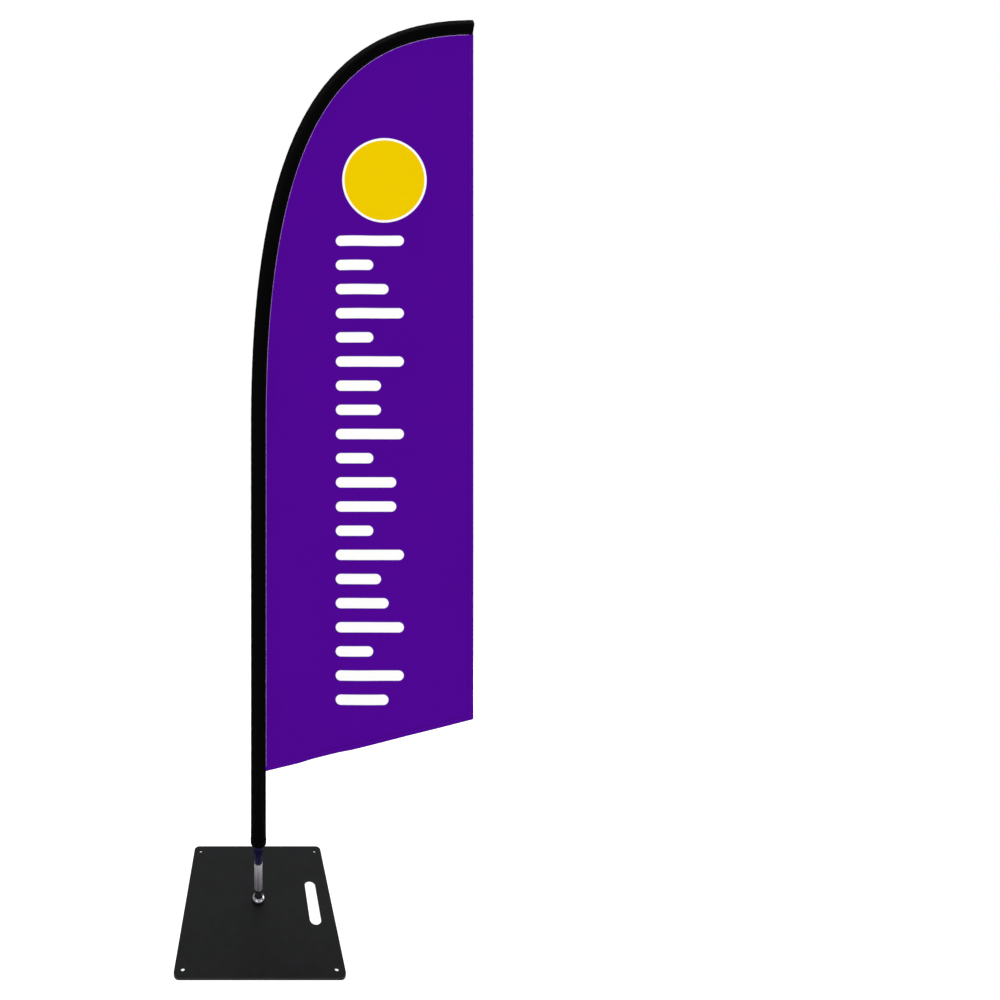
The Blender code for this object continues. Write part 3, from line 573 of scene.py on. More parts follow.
def woven_cloth(name, colour, pitch, place_of, roughness=0.9, specular=0.02, sheen=0.0):
    """Plain weave; place_of gives the cloth's own coordinates in metres, as X and Y."""
    material, tree, shader = new_look(
        name,
        Base_Color=colour,
        Roughness=roughness,
        Specular_IOR_Level=specular,
        Sheen_Weight=sheen,
        Sheen_Roughness=0.5,
    )
    place = place_of(tree)
    warp, weft = threads(tree, place, pitch, "X"), threads(tree, place, pitch, "Y")
    weave = sums(tree, "MULTIPLY", warp, weft)
    slub = noise(tree, place, 140.0, 3.0)
    # painted shade: the colour darkens in the gaps between threads; it also drifts with the yarn's
    # slubs, which is the yarn's own tone
    gap_shade_and_slub = sums(tree, "MULTIPLY_ADD", weave, 0.35, between(tree, slub, 0.0, 0.65))
    vary_colour(tree, shader, gap_shade_and_slub, colour, 0.6, 1.6)
    vary_roughness(tree, shader, slub, roughness * 0.92, min(1.0, roughness * 1.06))
    set_bump(tree, shader, weave, 0.00014, 0.7)
    return material


def sewn_place(tree):
    """The sleeve's own map: round it in X and along it in Y, in metres."""
    return node(tree, "UVMap", uv_map="cloth")


def panel_place(tree):
    """Across the panel in X and up it in Y, in metres."""
    place = node(tree, "TexCoord", out="Object")
    return node(tree, "Mapping", {"Vector": place, "Rotation": (math.radians(-90), 0, 0)})


def printed_cloth(settings):
    """Knitted polyester printed with a disc over a column of bars."""
    material, tree, shader = new_look(
        "printed_polyester",
        Base_Color=settings.ground,
        Roughness=0.85,
        Specular_IOR_Level=0.0,
    )
    place = panel_place(tree)
    split = tree.nodes.new("ShaderNodeSeparateXYZ")
    tree.links.new(node(tree, "TexCoord", out="Object"), split.inputs[0])
    across, up = split.outputs[0], split.outputs[2]

    def minus(first, second):
        return sums(tree, "SUBTRACT", first, second)

    def times(first, second):
        return sums(tree, "MULTIPLY", first, second)

    def length_of(first, second):
        squares = sums(tree, "ADD", times(first, first), times(second, second))
        return sums(tree, "SQRT", squares)

    def inside(distance, limit):
        """1 where a distance is under a limit, with a soft edge."""
        edge = {1: limit - INK_BLEED, 2: limit + INK_BLEED, 3: 1.0, 4: 0.0}
        return node(tree, "MapRange", {0: distance, **edge})

    from_centre = length_of(minus(across, settings.disc_x), minus(up, settings.disc_z))
    ring = inside(from_centre, settings.disc_radius + DISC_RIM)
    disc = inside(from_centre, settings.disc_radius)

    step = sums(tree, "DIVIDE", minus(up, settings.bars_bottom), settings.bars_pitch)
    index = sums(tree, "ROUND", step)
    from_bar = times(minus(step, index), settings.bars_pitch)
    rhythm = sums(tree, "SINE", times(index, 2.4))
    shortest = SHORTEST_BAR * settings.bars_length
    length = node(
        tree,
        "MapRange",
        {0: rhythm, 1: -1.0, 2: 1.0, 3: shortest, 4: settings.bars_length},
        interpolation_type="STEPPED",
    )
    middle = sums(tree, "ADD", times(length, 0.5), settings.bars_x)
    off_middle = sums(tree, "ABSOLUTE", minus(across, middle))
    core = minus(times(length, 0.5), settings.bar_half)
    beyond = sums(tree, "MAXIMUM", minus(off_middle, core), 0.0)
    above_first = sums(tree, "GREATER_THAN", index, -0.5)
    below_last = sums(tree, "LESS_THAN", index, settings.bar_count - 0.5)
    bars = inside(length_of(beyond, from_bar), settings.bar_half)
    bars = times(bars, times(above_first, below_last))

    wales = threads(tree, place, 0.00085, "X")
    courses = threads(tree, place, 0.00065, "Y")
    knit = times(wales, courses)
    drift = between(tree, noise(tree, place, 4.0, 3.0), 0.0, 1.0)
    colour = blend_colours(tree, drift, shade(settings.ground, 0.97), shade(settings.ground, 1.03))
    for share, ink in ((bars, settings.bars), (ring, settings.bars), (disc, settings.disc)):
        colour = blend_colours(tree, share, colour, tuple(ink))
    # painted shade: the colour darkens towards black in the knit's valleys
    shaded_valleys = blend_colours(tree, times(knit, 0.24), colour, (0, 0, 0))
    tree.links.new(shaded_valleys, shader.inputs["Base Color"])
    vary_roughness(tree, shader, noise(tree, place, 60.0), 0.80, 0.92)
    set_bump(tree, shader, knit, 0.00008, 0.5)
    return material


LOOKS = {}


def look(name):
    """The material of that name, made the first time it is asked for."""
    if name in LOOKS:
        return LOOKS[name]
    scene = bpy.context.scene
    plate, spindle, pole = scene.flag_plate, scene.flag_spindle, scene.flag_pole
    sleeve, panel = scene.flag_sleeve, scene.flag_panel
    # the lengthwise bands carry the spindle's painted reflections as well as its spun lines
    round_lines, lengthwise_lines_and_reflections = (60, 60, 4000), (430, 430, 3)
    ground = tuple(panel.ground)
    recipes = {
        "plate": lambda: powder_coat(tuple(plate.coat)),
        "chrome": lambda: bright_metal("chrome", tuple(spindle.metal), 0.14, round_lines),
        # the spindle: strong lengthwise bands in its colour, painted reflections as well as spun
        # lines
        "spun_and_reflection_streaked_chrome": lambda: bright_metal(
            "spun_and_reflection_streaked_chrome", shade(spindle.metal, 1.56), 0.44, lengthwise_lines_and_reflections, (0.45, 1.35)
        ),
        "zinc": lambda: bright_metal("zinc", (0.52, 0.53, 0.54), 0.34, (700, 700, 700)),
        "steel": lambda: bright_metal("turned_steel", (0.5, 0.5, 0.5), 0.32, round_lines),
        "bearing_steel": lambda: bright_metal("ground_steel", (0.6, 0.6, 0.62), 0.18, round_lines),
        "aluminium": lambda: bright_metal("aluminium", (0.6, 0.6, 0.62), 0.36, round_lines),
        "black_steel": lambda: moulded_plastic("black_oxide", tuple(spindle.nut), 0.38, 0.5),
        "cage_nylon": lambda: moulded_plastic("cage_nylon", (0.62, 0.60, 0.52), 0.5),
        "navy": lambda: moulded_plastic("navy_nylon", tuple(pole.moulding), 0.42, 0.14),
        "plastic": lambda: moulded_plastic("black_plastic", (0.012, 0.012, 0.012), 0.5),
        "composite": lambda: wound_composite(tuple(pole.composite)),
        "rubber": lambda: rubber("rubber", (0.010, 0.010, 0.010), 0.0011),
        "sleeve": lambda: woven_cloth(
            "sleeve_cloth", tuple(sleeve.cloth), 0.0008, sewn_place, sheen=0.0015
        ),
        "webbing": lambda: woven_cloth(
            "webbing", (0.0030, 0.0030, 0.0032), 0.0016, panel_place, sheen=0.004
        ),
        "black_thread": lambda: woven_cloth(
            "black_thread", (0.004, 0.004, 0.0045), 0.0003, panel_place, 0.7, 0.08
        ),
        "ground_thread": lambda: woven_cloth(
            "ground_thread", shade(ground, 1.25), 0.0003, panel_place, 0.6, 0.15
        ),
        "pale_thread": lambda: woven_cloth(
            "pale_thread", (0.50, 0.33, 0.78), 0.0003, panel_place, 0.6, 0.15
        ),
        "liner": lambda: woven_cloth("liner_cloth", (0.25, 0.25, 0.26), 0.0007, panel_place),
        "print": lambda: printed_cloth(panel),
    }
    LOOKS[name] = recipes[name]()
    return LOOKS[name]


# ---------------------------------------------------------------- the flag's outline


class Outline:
    """The pole line and the panel's edges, all from the frame's own boxes."""

    def __init__(self, sleeve):
        self.half_width = sleeve.width / 2
        self.mouth = low("sleeve_lower").z
        self.bend_start = high("sleeve_lower").z + GAP
        self.reach = high("sleeve_upper").x
        self.tip_z = high("sleeve_upper").z - self.half_width
        self.panel_offset = low("front_panel").x
        self.tail_z = low("front_panel").z
        rise = self.tip_z - self.bend_start
        self.handles = (
            Vector((0, 0, self.bend_start)),
            Vector((0, 0, self.bend_start + ROOT_FULLNESS * rise)),
            Vector((self.reach * (1 - TIP_FULLNESS), 0, self.tip_z)),
            Vector((self.reach, 0, self.tip_z)),
        )
        corners = [v.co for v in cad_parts["front_panel"].data.vertices]
        self.free_z = min(c.z for c in corners if c.x > self.reach - 1e-5)

    def bend(self, t):
        """Point and inward normal of the pole line at t along the bend."""
        a, b, c, d = self.handles
        s = 1 - t
        point = a * s**3 + b * 3 * s * s * t + c * 3 * s * t * t + d * t**3
        heading = ((b - a) * s * s + (c - b) * 2 * s * t + (d - c) * t * t).normalized()
        return point, Vector((heading.z, 0, -heading.x))

    def pole_line(self, step):
        """(distance, point, inward normal, t) along the pole, evenly spaced, t 0 below the bend."""
        straight = self.bend_start - self.mouth
        count = round(straight / step)
        line = []
        for i in range(count):
            at = straight * i / count
            line.append((at, Vector((0, 0, self.mouth + at)), Vector((1, 0, 0)), 0.0))
        fine = [self.bend(i / BEND_STEPS)[0] for i in range(BEND_STEPS + 1)]
        along = [0.0]
        for first, second in zip(fine, fine[1:]):
            along.append(along[-1] + (second - first).length)
        count = round(along[-1] / step)
        for i in range(count + 1):
            at = along[-1] * i / count
            t = float(np.interp(at, along, np.linspace(0, 1, BEND_STEPS + 1)))
            line.append((straight + at, *self.bend(t), t))
        return line

    def panel_corners(self, step):
        """The panel's outline in X and Z: the sewn edge, then the free edge and the bottom."""
        sewn = [(self.panel_offset, self.tail_z)]
        for _, point, inward, _ in self.pole_line(step):
            edge = point + inward * self.panel_offset
            if edge.z > self.tail_z + step / 2:
                sewn.append((edge.x, edge.z))
        top, corner = sewn[-1], (self.reach, self.free_z)
        free = spaced([top, corner], step)[1:]
        bottom = spaced([corner, sewn[0]], step)[1:-1]
        return sewn, free + bottom


def spaced(line, step):
    """Points about step apart on the straight between two ends."""
    first, last = Vector(line[0]), Vector(line[1])
    count = max(1, round((last - first).length / step))
    return [tuple(first.lerp(last, i / count)) for i in range(count + 1)]


def sines(values, *waves):
    """A smooth, repeatable irregularity: the sum of (amplitude, wavelength, phase) waves."""
    values = np.asarray(values, float)
    return sum(a * np.sin(2 * math.pi * values / length + phase) for a, length, phase in waves)


def ramp(values, first, last):
    """0 up to first, 1 from last on, and a straight climb between them."""
    return np.clip((values - first) / (last - first), 0, 1)


def smooth(share):
    """Rounds both ends of a 0 to 1 climb."""
    return share * share * (3 - 2 * share)


# ---------------------------------------------------------------- operators


class FLAG_OT_stage(bpy.types.Operator):
    """Sets up the pale floor, the soft lights and the camera"""

    bl_idname = "flag.stage"
    bl_label = "Stage"

    def execute(self, context):
        stage = context.scene.flag_stage
        context.scene.view_settings.view_transform = "Standard"
        world = bpy.data.worlds.new("studio")
        context.scene.world = world
        world.use_nodes = True
        tree = world.node_tree
        tree.nodes.clear()
        seen = node(tree, "LightPath", out="Is Camera Ray")
        lit = node(tree, "Background", {"Color": (0.95, 0.97, 1.0, 1.0), "Strength": 0.60})
        white = node(tree, "Background", {"Color": (1, 1, 1, 1), "Strength": 1.0})
        mixed = node(tree, "MixShader", {0: seen, 1: lit, 2: white})
        end = tree.nodes.new("ShaderNodeOutputWorld")
        tree.links.new(mixed, end.inputs["Surface"])

        floor = start(
            "floor", bpy.ops.mesh.primitive_plane_add, size=FLOOR_SIDE, location=(0, 0, 0)
        )
        floor.data.transform(Matrix.Translation((0, 0, low("base_plate").z)))
        paper, tree, shader = new_look(
            "paper", Base_Color=stage.floor, Roughness=0.9, Specular_IOR_Level=0.1
        )
        grain = noise(tree, object_place(tree), 6.0)
        pale = tuple(stage.floor)
        tree.links.new(
            blend_colours(tree, between(tree, grain, 0, 1), shade(pale, 0.995), pale),
            shader.inputs["Base Color"],
        )
        shader.inputs["Emission Color"].default_value = (1, 1, 1, 1)
        shader.inputs["Emission Strength"].default_value = 0.68
        floor.data.materials.append(paper)

        for name, size, power, place in (
            ("key_softbox", 3.0, 62.0, (-2.6, -3.4, 3.6)),
            ("fill_softbox", 3.0, 30.0, (3.4, -2.6, 2.6)),
            ("top_softbox", 3.4, 60.0, (0.2, 0.6, 4.6)),
            ("rim_softbox", 1.4, 22.0, (2.2, 1.6, 0.9)),
        ):
            lamp = bpy.data.lights.new(name, "AREA")
            lamp.size = size
            lamp.energy = power
            light = bpy.data.objects.new(name, lamp)
            context.scene.collection.objects.link(light)
            light.location = place
            aim = Vector((0.1, 0, 1.0)) - Vector(place)
            light.rotation_euler = aim.to_track_quat("-Z", "Y").to_euler()

        camera = bpy.data.objects.new("camera", bpy.data.cameras.new("camera"))
        context.scene.collection.objects.link(camera)
        camera.location = (stage.camera_side, -stage.camera_distance, stage.camera_height)
        camera.rotation_euler = (math.radians(90), 0, 0)
        camera.data.lens = stage.lens
        camera.data.sensor_width = SENSOR_WIDTH
        camera.data.shift_x = stage.shift_x
        camera.data.shift_y = stage.shift_y
        context.scene.camera = camera
        return {"FINISHED"}


class FLAG_OT_plate(bpy.types.Operator):
    """Cuts the steel plate with its peg holes and carrying slot"""

    bl_idname = "flag.plate"
    bl_label = "Base Plate"

    def execute(self, context):
        plate = context.scene.flag_plate
        half, thick = plate.side / 2, plate.thickness
        deep = 4 * thick
        slab = start("steel_plate", bpy.ops.mesh.primitive_cube_add, size=1)
        edit_mode()
        bpy.ops.transform.resize(value=(plate.side, plate.side, thick))
        bpy.ops.transform.translate(value=(0, 0, thick / 2))
        pick(slab, "EDGE", lambda e: abs(e.verts[0].co.z - e.verts[1].co.z) > thick / 2)
        bpy.ops.mesh.bevel(offset=plate.corner, segments=12, affect="EDGES")
        edit_mode(False)
        reach = half - plate.peg_inset
        for x in (-reach, reach):
            for y in (-reach, reach):
                cut(slab, cylinder("hole", HOLE_SIDES, plate.peg_hole, deep, (x, y, 0)))
        slot_radius = plate.slot_width / 2
        slot_x = half - plate.slot_inset
        half_side = math.pi / HOLE_SIDES
        slot = cylinder("slot", HOLE_SIDES, slot_radius, deep, (slot_x, 0, 0), (0, 0, half_side))
        bpy.ops.object.transform_apply(location=True, rotation=True, scale=True)
        reach_y = plate.slot_length / 2 - slot_radius
        edit_mode()
        for side in (1, -1):
            pick(slot, "VERT", lambda v: v.co.y * side > MERGE)
            bpy.ops.transform.translate(value=(0, side * reach_y, 0))
        edit_mode(False)
        cut(slab, slot)
        head = high("axle_bolt").x
        sink = turned(
            "sink",
            [
                (0, 2 * thick),
                (AXLE_RADIUS + GAP, 2 * thick),
                (AXLE_RADIUS + GAP, head - AXLE_RADIUS),
                (head + GAP, 0),
                (head + GAP, -thick),
                (0, -thick),
            ],
            closed=False,
        )
        cut(slab, sink)
        round_edges(slab, plate.edge)
        coated = look("plate")
        finish_piece(slab, "base", coated, ("base_plate",), 30, flat_faces=True)
        return {"FINISHED"}


class FLAG_OT_axle(bpy.types.Operator):
    """Turns the axle bolt with its hexagon socket, the seat cup and the clamp nut"""

    bl_idname = "flag.axle"
    bl_label = "Axle, Cup and Nut"

    def execute(self, context):
        spindle = context.scene.flag_spindle
        head, top = high("axle_bolt").x, high("axle_bolt").z
        shank, end = AXLE_RADIUS, 0.0039
        shoulder = high("upper_inner_race").z
        bolt = turned(
            "axle_screw",
            filleted(
                [
                    (0, top, 0),
                    (end, top, 0.0006),
                    (end, shoulder, 0),
                    (shank, shoulder, 0.0004),
                    (shank, head - shank, 0.0006),
                    (head, 0, 0.0003),
                    (0, 0, 0),
                ]
            ),
            HOLE_SIDES,
            closed=False,
        )
        socket_radius, socket_depth = 0.0035, 0.003
        cut(bolt, cylinder("socket", 6, socket_radius, 2 * socket_depth))
        round_edges(bolt, 0.0001, 2, 60)
        finish_piece(bolt, "base", look("zinc"), ("axle_bolt",), 30)

        bottom = low("seat_cup").z
        belly, lip = 0.0070, 0.0008
        belly_z = bottom + belly * math.sin(math.radians(60)) + 0.0012
        mouth = spindle.nut_flats / math.sqrt(3) + 0.0016
        belly_r = spindle.cup_radius - belly
        lip_z = belly_z + belly * math.sin(math.radians(68))
        floor = bottom + 0.003
        cup = turned(
            "spindle_cup",
            arc(mouth + lip, lip_z, lip, 180, 90, 6)
            + arc(belly_r, belly_z, belly, 62, -60, 26)
            + [
                (belly_r + belly * 0.36, bottom),
                (shank + GAP, bottom),
                (shank + GAP, floor),
                (mouth - 0.0008, floor),
                (mouth - 0.0002, floor + 0.0002),
                (mouth, floor + 0.0008),
            ],
        )
        finish_piece(cup, "base", look("chrome"), ("seat_cup",), 40)

        under, over = low("clamp_nut").z, high("clamp_nut").z
        corner = spindle.nut_flats / math.sqrt(3)
        nut = cylinder("clamp_hex_nut", 6, corner, over - under, (0, 0, (over + under) / 2))
        slim = spindle.nut_flats / 2 - 0.0002
        drop = 0.0008
        barrel = turned(
            "barrel",
            [
                (0, over),
                (slim, over),
                (corner + 0.0002, over - drop),
                (corner + 0.0002, under + drop),
                (slim, under),
                (0, under),
            ],
            72,
            closed=False,
        )
        cut(nut, barrel, "INTERSECT")
        bore = turned(
            "bore",
            [(0, over + 0.01), (shank + GAP, over + 0.01), (shank + GAP, 0), (0, 0)],
            HOLE_SIDES,
            closed=False,
        )
        cut(nut, bore)
        round_edges(nut, 0.00015, 2, 50)
        black = look("black_steel")
        finish_piece(nut, "base", black, ("clamp_nut",), 25, flat_faces=True)
        return {"FINISHED"}


class FLAG_OT_spindle(bpy.types.Operator):
    """Turns the chrome spindle and the pin that the pole drops over"""

    bl_idname = "flag.spindle"
    bl_label = "Spindle"

    def execute(self, context):
        spindle = context.scene.flag_spindle
        radius, pin = spindle.radius, spindle.pin_radius
        bottom, top = low("spindle_tube").z, high("spindle_tube").z
        bore = high("upper_outer_race").x + FIT
        step = high("upper_outer_race").z + GAP
        ring_low, ring_high = low("retaining_ring").z, high("retaining_ring").z
        groove = bore + 0.0006
        upper_bore = bore - 0.0011
        tube = turned(
            "spindle_barrel",
            filleted(
                [
                    (radius, top, 0.0004),
                    (radius, bottom, 0.0007),
                    (bore, bottom, 0.0003),
                    (bore, ring_low - FIT, 0),
                    (groove, ring_low - FIT, 0),
                    (groove, ring_high + FIT, 0),
                    (bore, ring_high + FIT, 0),
                    (bore, step, 0),
                    (upper_bore, step, 0),
                    (upper_bore, top, 0.0002),
                ]
            ),
        )
        finish_piece(tube, "rotor", look("spun_and_reflection_streaked_chrome"), ("spindle_tube",), 30)

        flange_top = low("pole_foot").z - GAP
        flange_bottom = top + GAP
        rings = [(low(n).z + high(n).z) / 2 for n in ("upper_o_ring", "lower_o_ring")]
        half, depth = 0.00105, 0.0018
        section = [(0, high("spindle_stub").z, 0), (pin, high("spindle_stub").z, 0.0015)]
        for ring in rings:
            section += [
                (pin, ring + half, 0.0001),
                (pin - depth, ring + half, 0),
                (pin - depth, ring - half, 0),
                (pin, ring - half, 0.0001),
            ]
        section += [
            (pin, flange_top, 0.0004),
            (radius, flange_top, 0.0004),
            (radius, flange_bottom, 0.0003),
            (upper_bore - FIT, flange_bottom, 0),
            (upper_bore - FIT, low("spindle_stub").z, 0.0004),
            (0, low("spindle_stub").z, 0),
        ]
        stub = turned("spindle_pin", filleted(section), closed=False)
        finish_piece(stub, "rotor", look("chrome"), ("spindle_stub",), 30)
        return {"FINISHED"}


class FLAG_OT_pole(bpy.types.Operator):
    """Turns the moulded foot and the lower tube of the pole"""

    bl_idname = "flag.pole"
    bl_label = "Pole Foot and Tube"

    def execute(self, context):
        pole = context.scene.flag_pole
        tube_r = pole.tube_radius
        bottom, top = low("pole_foot").z, high("pole_foot").z
        collar_r = high("pole_foot").x
        seat = low("lower_tube").z - GAP
        socket = tube_r + FIT
        shoulder = socket + 0.0025
        bore = context.scene.flag_spindle.pin_radius + 0.0004
        collar_z = seat + 0.0025
        taper_low, taper_high = collar_z + 0.0175, collar_z + 0.0375
        throat = collar_z - 0.0245
        rim, rim_top = pole.neck + 0.0004, bottom + 0.0042
        foot = turned(
            "foot_moulding",
            filleted(
                [
                    (socket, top, 0.0003),
                    (shoulder, top, 0.0010),
                    (shoulder, taper_high, 0.0030),
                    (collar_r, taper_low, 0.0020),
                    (collar_r, collar_z, 0.0016),
                    (pole.neck, throat, 0.0060),
                    (pole.neck, rim_top + 0.0004, 0.0003),
                    (rim, rim_top, 0.0003),
                    (rim, bottom, 0.0006),
                    (bore, bottom, 0.0003),
                    (bore, seat, 0.0005),
                    (socket, seat, 0.0003),
                ]
            ),
        )
        finish_piece(foot, "lower_pole", look("navy"), ("pole_foot",), 30)

        wall_in = tube_r - pole.tube_wall
        low_z, high_z = low("lower_tube").z, high("lower_tube").z
        tube = turned(
            "wound_lower_tube",
            filleted(
                [
                    (wall_in, low_z, 0.0002),
                    (tube_r, low_z, 0.0003),
                    (tube_r, high_z, 0.0003),
                    (wall_in, high_z, 0.0002),
                ],
                3,
            ),
        )
        finish_piece(tube, "lower_pole", look("composite"), ("lower_tube",), 30)
        return {"FINISHED"}


def sleeve_section(main, width, flange_start, thin, sides):
    """One ring's points as (inward, front), and how long the cloth is round it.

    The cloth wraps the pole as a circle of radius main, runs straight to a fold on the outer
    side, and straight to a flat seam flange on the panel side.
    """
    quarter = sides // 4
    halves = []
    for reach, flat in ((flange_start, width - thin - flange_start), (width - thin, 0.0)):
        touch = math.acos(min(1.0, (main - thin) / max(reach, 1e-9)))
        end_arc = thin * math.pi / 2 if flat > 1e-6 else thin * touch
        straight = math.sqrt(max(0.0, reach**2 - (main - thin) ** 2))
        wrap = main * (math.pi / 2 - touch)
        lengths = [end_arc, flat, straight, wrap]
        edges = np.concatenate([[0], np.cumsum(lengths)])
        points = []
        for k in range(quarter + 1):
            at = edges[-1] * k / quarter
            if at <= edges[1]:
                turn = at / thin
                points.append((reach + flat + thin * math.cos(turn), thin * math.sin(turn)))
            elif at <= edges[2]:
                points.append((reach + flat - (at - edges[1]), thin))
            elif at <= edges[3]:
                share = (at - edges[2]) / max(straight, 1e-9)
                near = Vector((reach + thin * math.cos(touch), thin * math.sin(touch)))
                far = Vector((main * math.cos(touch), main * math.sin(touch)))
                points.append(tuple(near.lerp(far, share)))
            else:
                turn = touch + (at - edges[3]) / main
                points.append((main * math.cos(turn), main * math.sin(turn)))
        halves.append((points, edges[-1]))
    (inner, inner_length), (outer, outer_length) = halves
    first = inner[:-1] + [(-x, y) for x, y in reversed(outer)][:-1]
    ring = first + [(-x, -y) for x, y in outer][:-1]
    ring += [(x, -y) for x, y in reversed(inner)][:-1]
    around = 2 * (inner_length + outer_length)
    return ring, around


def sleeve_relief(sleeve, across, at, t, ease):
    """How far each point of a ring stands off the plain sleeve, at its distance up the pole."""
    width = sleeve.width / 2
    turn = np.arctan2(across[:, 1], across[:, 0])
    panel_side = ramp(across[:, 0], 0.30 * width, 0.85 * width)
    fold_side = ramp(-across[:, 0], 0.40 * width, 0.90 * width)
    front = np.sign(across[:, 1])
    lift = panel_side * sleeve.pucker * ease * sines(
        at + 0.004 * front, (0.55, 0.0135, 0.3), (0.35, 0.0217, 1.1), (0.3, 0.061, 2.0)
    )
    lift += DENTS * ease * (1 - panel_side) * (1 - fold_side) * sines(
        at + 0.03 * turn, (0.5, 0.173, 0.2), (0.4, 0.094, 1.7), (0.25, 0.041, 0.6)
    )
    lift += fold_side * FOLD_WAVE * ease * sines(at, (1, 0.027, 0.5), (0.7, 0.049, 2.2))
    if t > 0:
        strain = math.sin(math.pi * min(1.0, 1.15 * t)) ** 2
        wave = sines(at + 0.006 * turn, (0.6, 0.024, 0.0), (0.5, 0.037, 1.3))
        inner = np.clip(across[:, 0] / width, 0, 1)
        inner *= 1 - ramp(across[:, 0], 0.75 * width, 0.95 * width)
        lift += STRAIN * strain * wave * inner
    near_mouth = math.exp(-max(0.0, at - sleeve.hem) / 0.035)
    pleat = np.abs(np.sin(sleeve.pleats * turn / 2 + 0.4)) - 0.3
    lift += PLEAT * near_mouth * np.clip(pleat, 0, 1) * min(1.0, at / 0.004)
    if at <= sleeve.hem:
        lift += HEM_STEP
    return lift


class FLAG_OT_sleeve(bpy.types.Operator):
    """Sews the pole sleeve, one cloth tube from the mouth to the tip"""

    bl_idname = "flag.sleeve"
    bl_label = "Pole Sleeve"

    def execute(self, context):
        sleeve = context.scene.flag_sleeve
        outline = Outline(sleeve)
        width = outline.half_width
        line = outline.pole_line(SLEEVE_STEP)
        rings, map_points, arounds = [], [], []
        round_end, taper_end = 0.020, 0.110
        for at, point, inward, t in line:
            ease = smooth(ramp(at, round_end, taper_end))
            pole_half = sleeve.pole_half * (1 - t) + sleeve.tip_half * t
            main = (width - 1e-5) * (1 - ease) + pole_half * ease
            flat_from = width - sleeve.flange_half - (sleeve.flange - sleeve.flange_half) * ease
            section, around = sleeve_section(
                main, width, flat_from, sleeve.flange_half, SLEEVE_SIDES
            )
            arounds.append(around)
            across = np.array(section)
            along = np.roll(across, -1, axis=0) - np.roll(across, 1, axis=0)
            normals = np.stack([along[:, 1], -along[:, 0]], axis=1)
            normals /= np.linalg.norm(normals, axis=1)[:, None]
            lift = sleeve_relief(sleeve, across, at, t, ease)
            spots = across + normals * lift[:, None]
            rings.append([point + inward * u + Vector((0, -v, 0)) for u, v in spots])
            map_points.append(at)
        sides = len(rings[0])
        points = [p for ring in rings for p in ring]
        tube = from_points("pole_sleeve", points, ring_faces(len(rings), sides))
        chart = tube.data.uv_layers.new(name="cloth")
        for face in tube.data.polygons:
            for corner in face.loop_indices:
                vertex = tube.data.loops[corner].vertex_index
                row, side = divmod(vertex, sides)
                wraps = side == 0 and any(
                    tube.data.loops[c].vertex_index % sides == sides - 1
                    for c in face.loop_indices
                )
                share = 1.0 if wraps else side / sides
                chart.data[corner].uv = (share * arounds[row], map_points[row])
        outward(tube)
        thicken(tube, sleeve.wall, -1.0, even=True)
        finish_piece(
            tube, "flag_top", look("sleeve"), ("sleeve_lower", "sleeve_upper"), 50
        )
        return {"FINISHED"}


class FLAG_OT_sleeve_fittings(bpy.types.Operator):
    """Makes the elastic inside the sleeve's mouth and the pocket at its tip"""

    bl_idname = "flag.sleeve_fittings"
    bl_label = "Elastic and Tip Pocket"

    def execute(self, context):
        box_low, box_high = SIZES["cuff_elastic"]
        outer, inner = box_high.x - 0.0001, box_high.x - 0.0015
        elastic = turned(
            "shirred_elastic",
            filleted(
                [
                    (outer, box_low.z, 0.0003),
                    (outer, box_high.z, 0.0003),
                    (inner, box_high.z, 0.0003),
                    (inner, box_low.z, 0.0003),
                ],
                3,
            ),
            96,
        )
        finish_piece(elastic, "flag_top", look("rubber"), ("cuff_elastic",), 40)

        sleeve = context.scene.flag_sleeve
        outline = Outline(sleeve)
        tip, inward = outline.bend(1.0)
        steps = 1000
        back_t = 0.0
        for i in range(steps + 1):
            if outline.bend(i / steps)[0].x > outline.reach - POCKET_LENGTH:
                back_t = (i - 1) / steps
                break
        root, root_inward = outline.bend(back_t)
        outside, _ = sleeve_section(
            sleeve.tip_half - sleeve.wall - GAP,
            outline.half_width - sleeve.wall - GAP,
            outline.half_width - sleeve.flange,
            0.0006,
            POCKET_SIDES,
        )
        bore = 0.0049
        turns = [2 * math.pi * i / POCKET_SIDES for i in range(POCKET_SIDES)]
        inside = [(bore * math.cos(a), bore * math.sin(a)) for a in turns]
        rings = []
        for section, back, grow in (
            (inside, 0.006, 1.0),
            (inside, POCKET_LENGTH, 1.0),
            (outside, POCKET_LENGTH, 0.97),
            (outside, POCKET_LENGTH - 0.0006, 1.0),
            (outside, 0.0016, 1.0),
            (outside, 0.0008, 0.985),
            (outside, 0.0004, 0.95),
            (outside, GAP, 0.88),
            (outside, GAP, 0.60),
            (outside, GAP, 0.30),
        ):
            share = 1 - back / POCKET_LENGTH
            point = root.lerp(tip, share)
            side = root_inward.lerp(inward, share).normalized()
            rings.append(
                [point + side * (u * grow) + Vector((0, -v * grow, 0)) for u, v in section]
            )
        points = [p for ring in rings for p in ring]
        last = len(points) - POCKET_SIDES
        inner_end, outer_end = range(POCKET_SIDES), range(last, last + POCKET_SIDES)
        faces = [inner_end, *ring_faces(len(rings), POCKET_SIDES), outer_end]
        pocket = from_points("webbing_pocket", points, faces)
        outward(pocket)
        finish_piece(pocket, "flag_top", look("webbing"), ("tip_pocket",), 40)
        return {"FINISHED"}


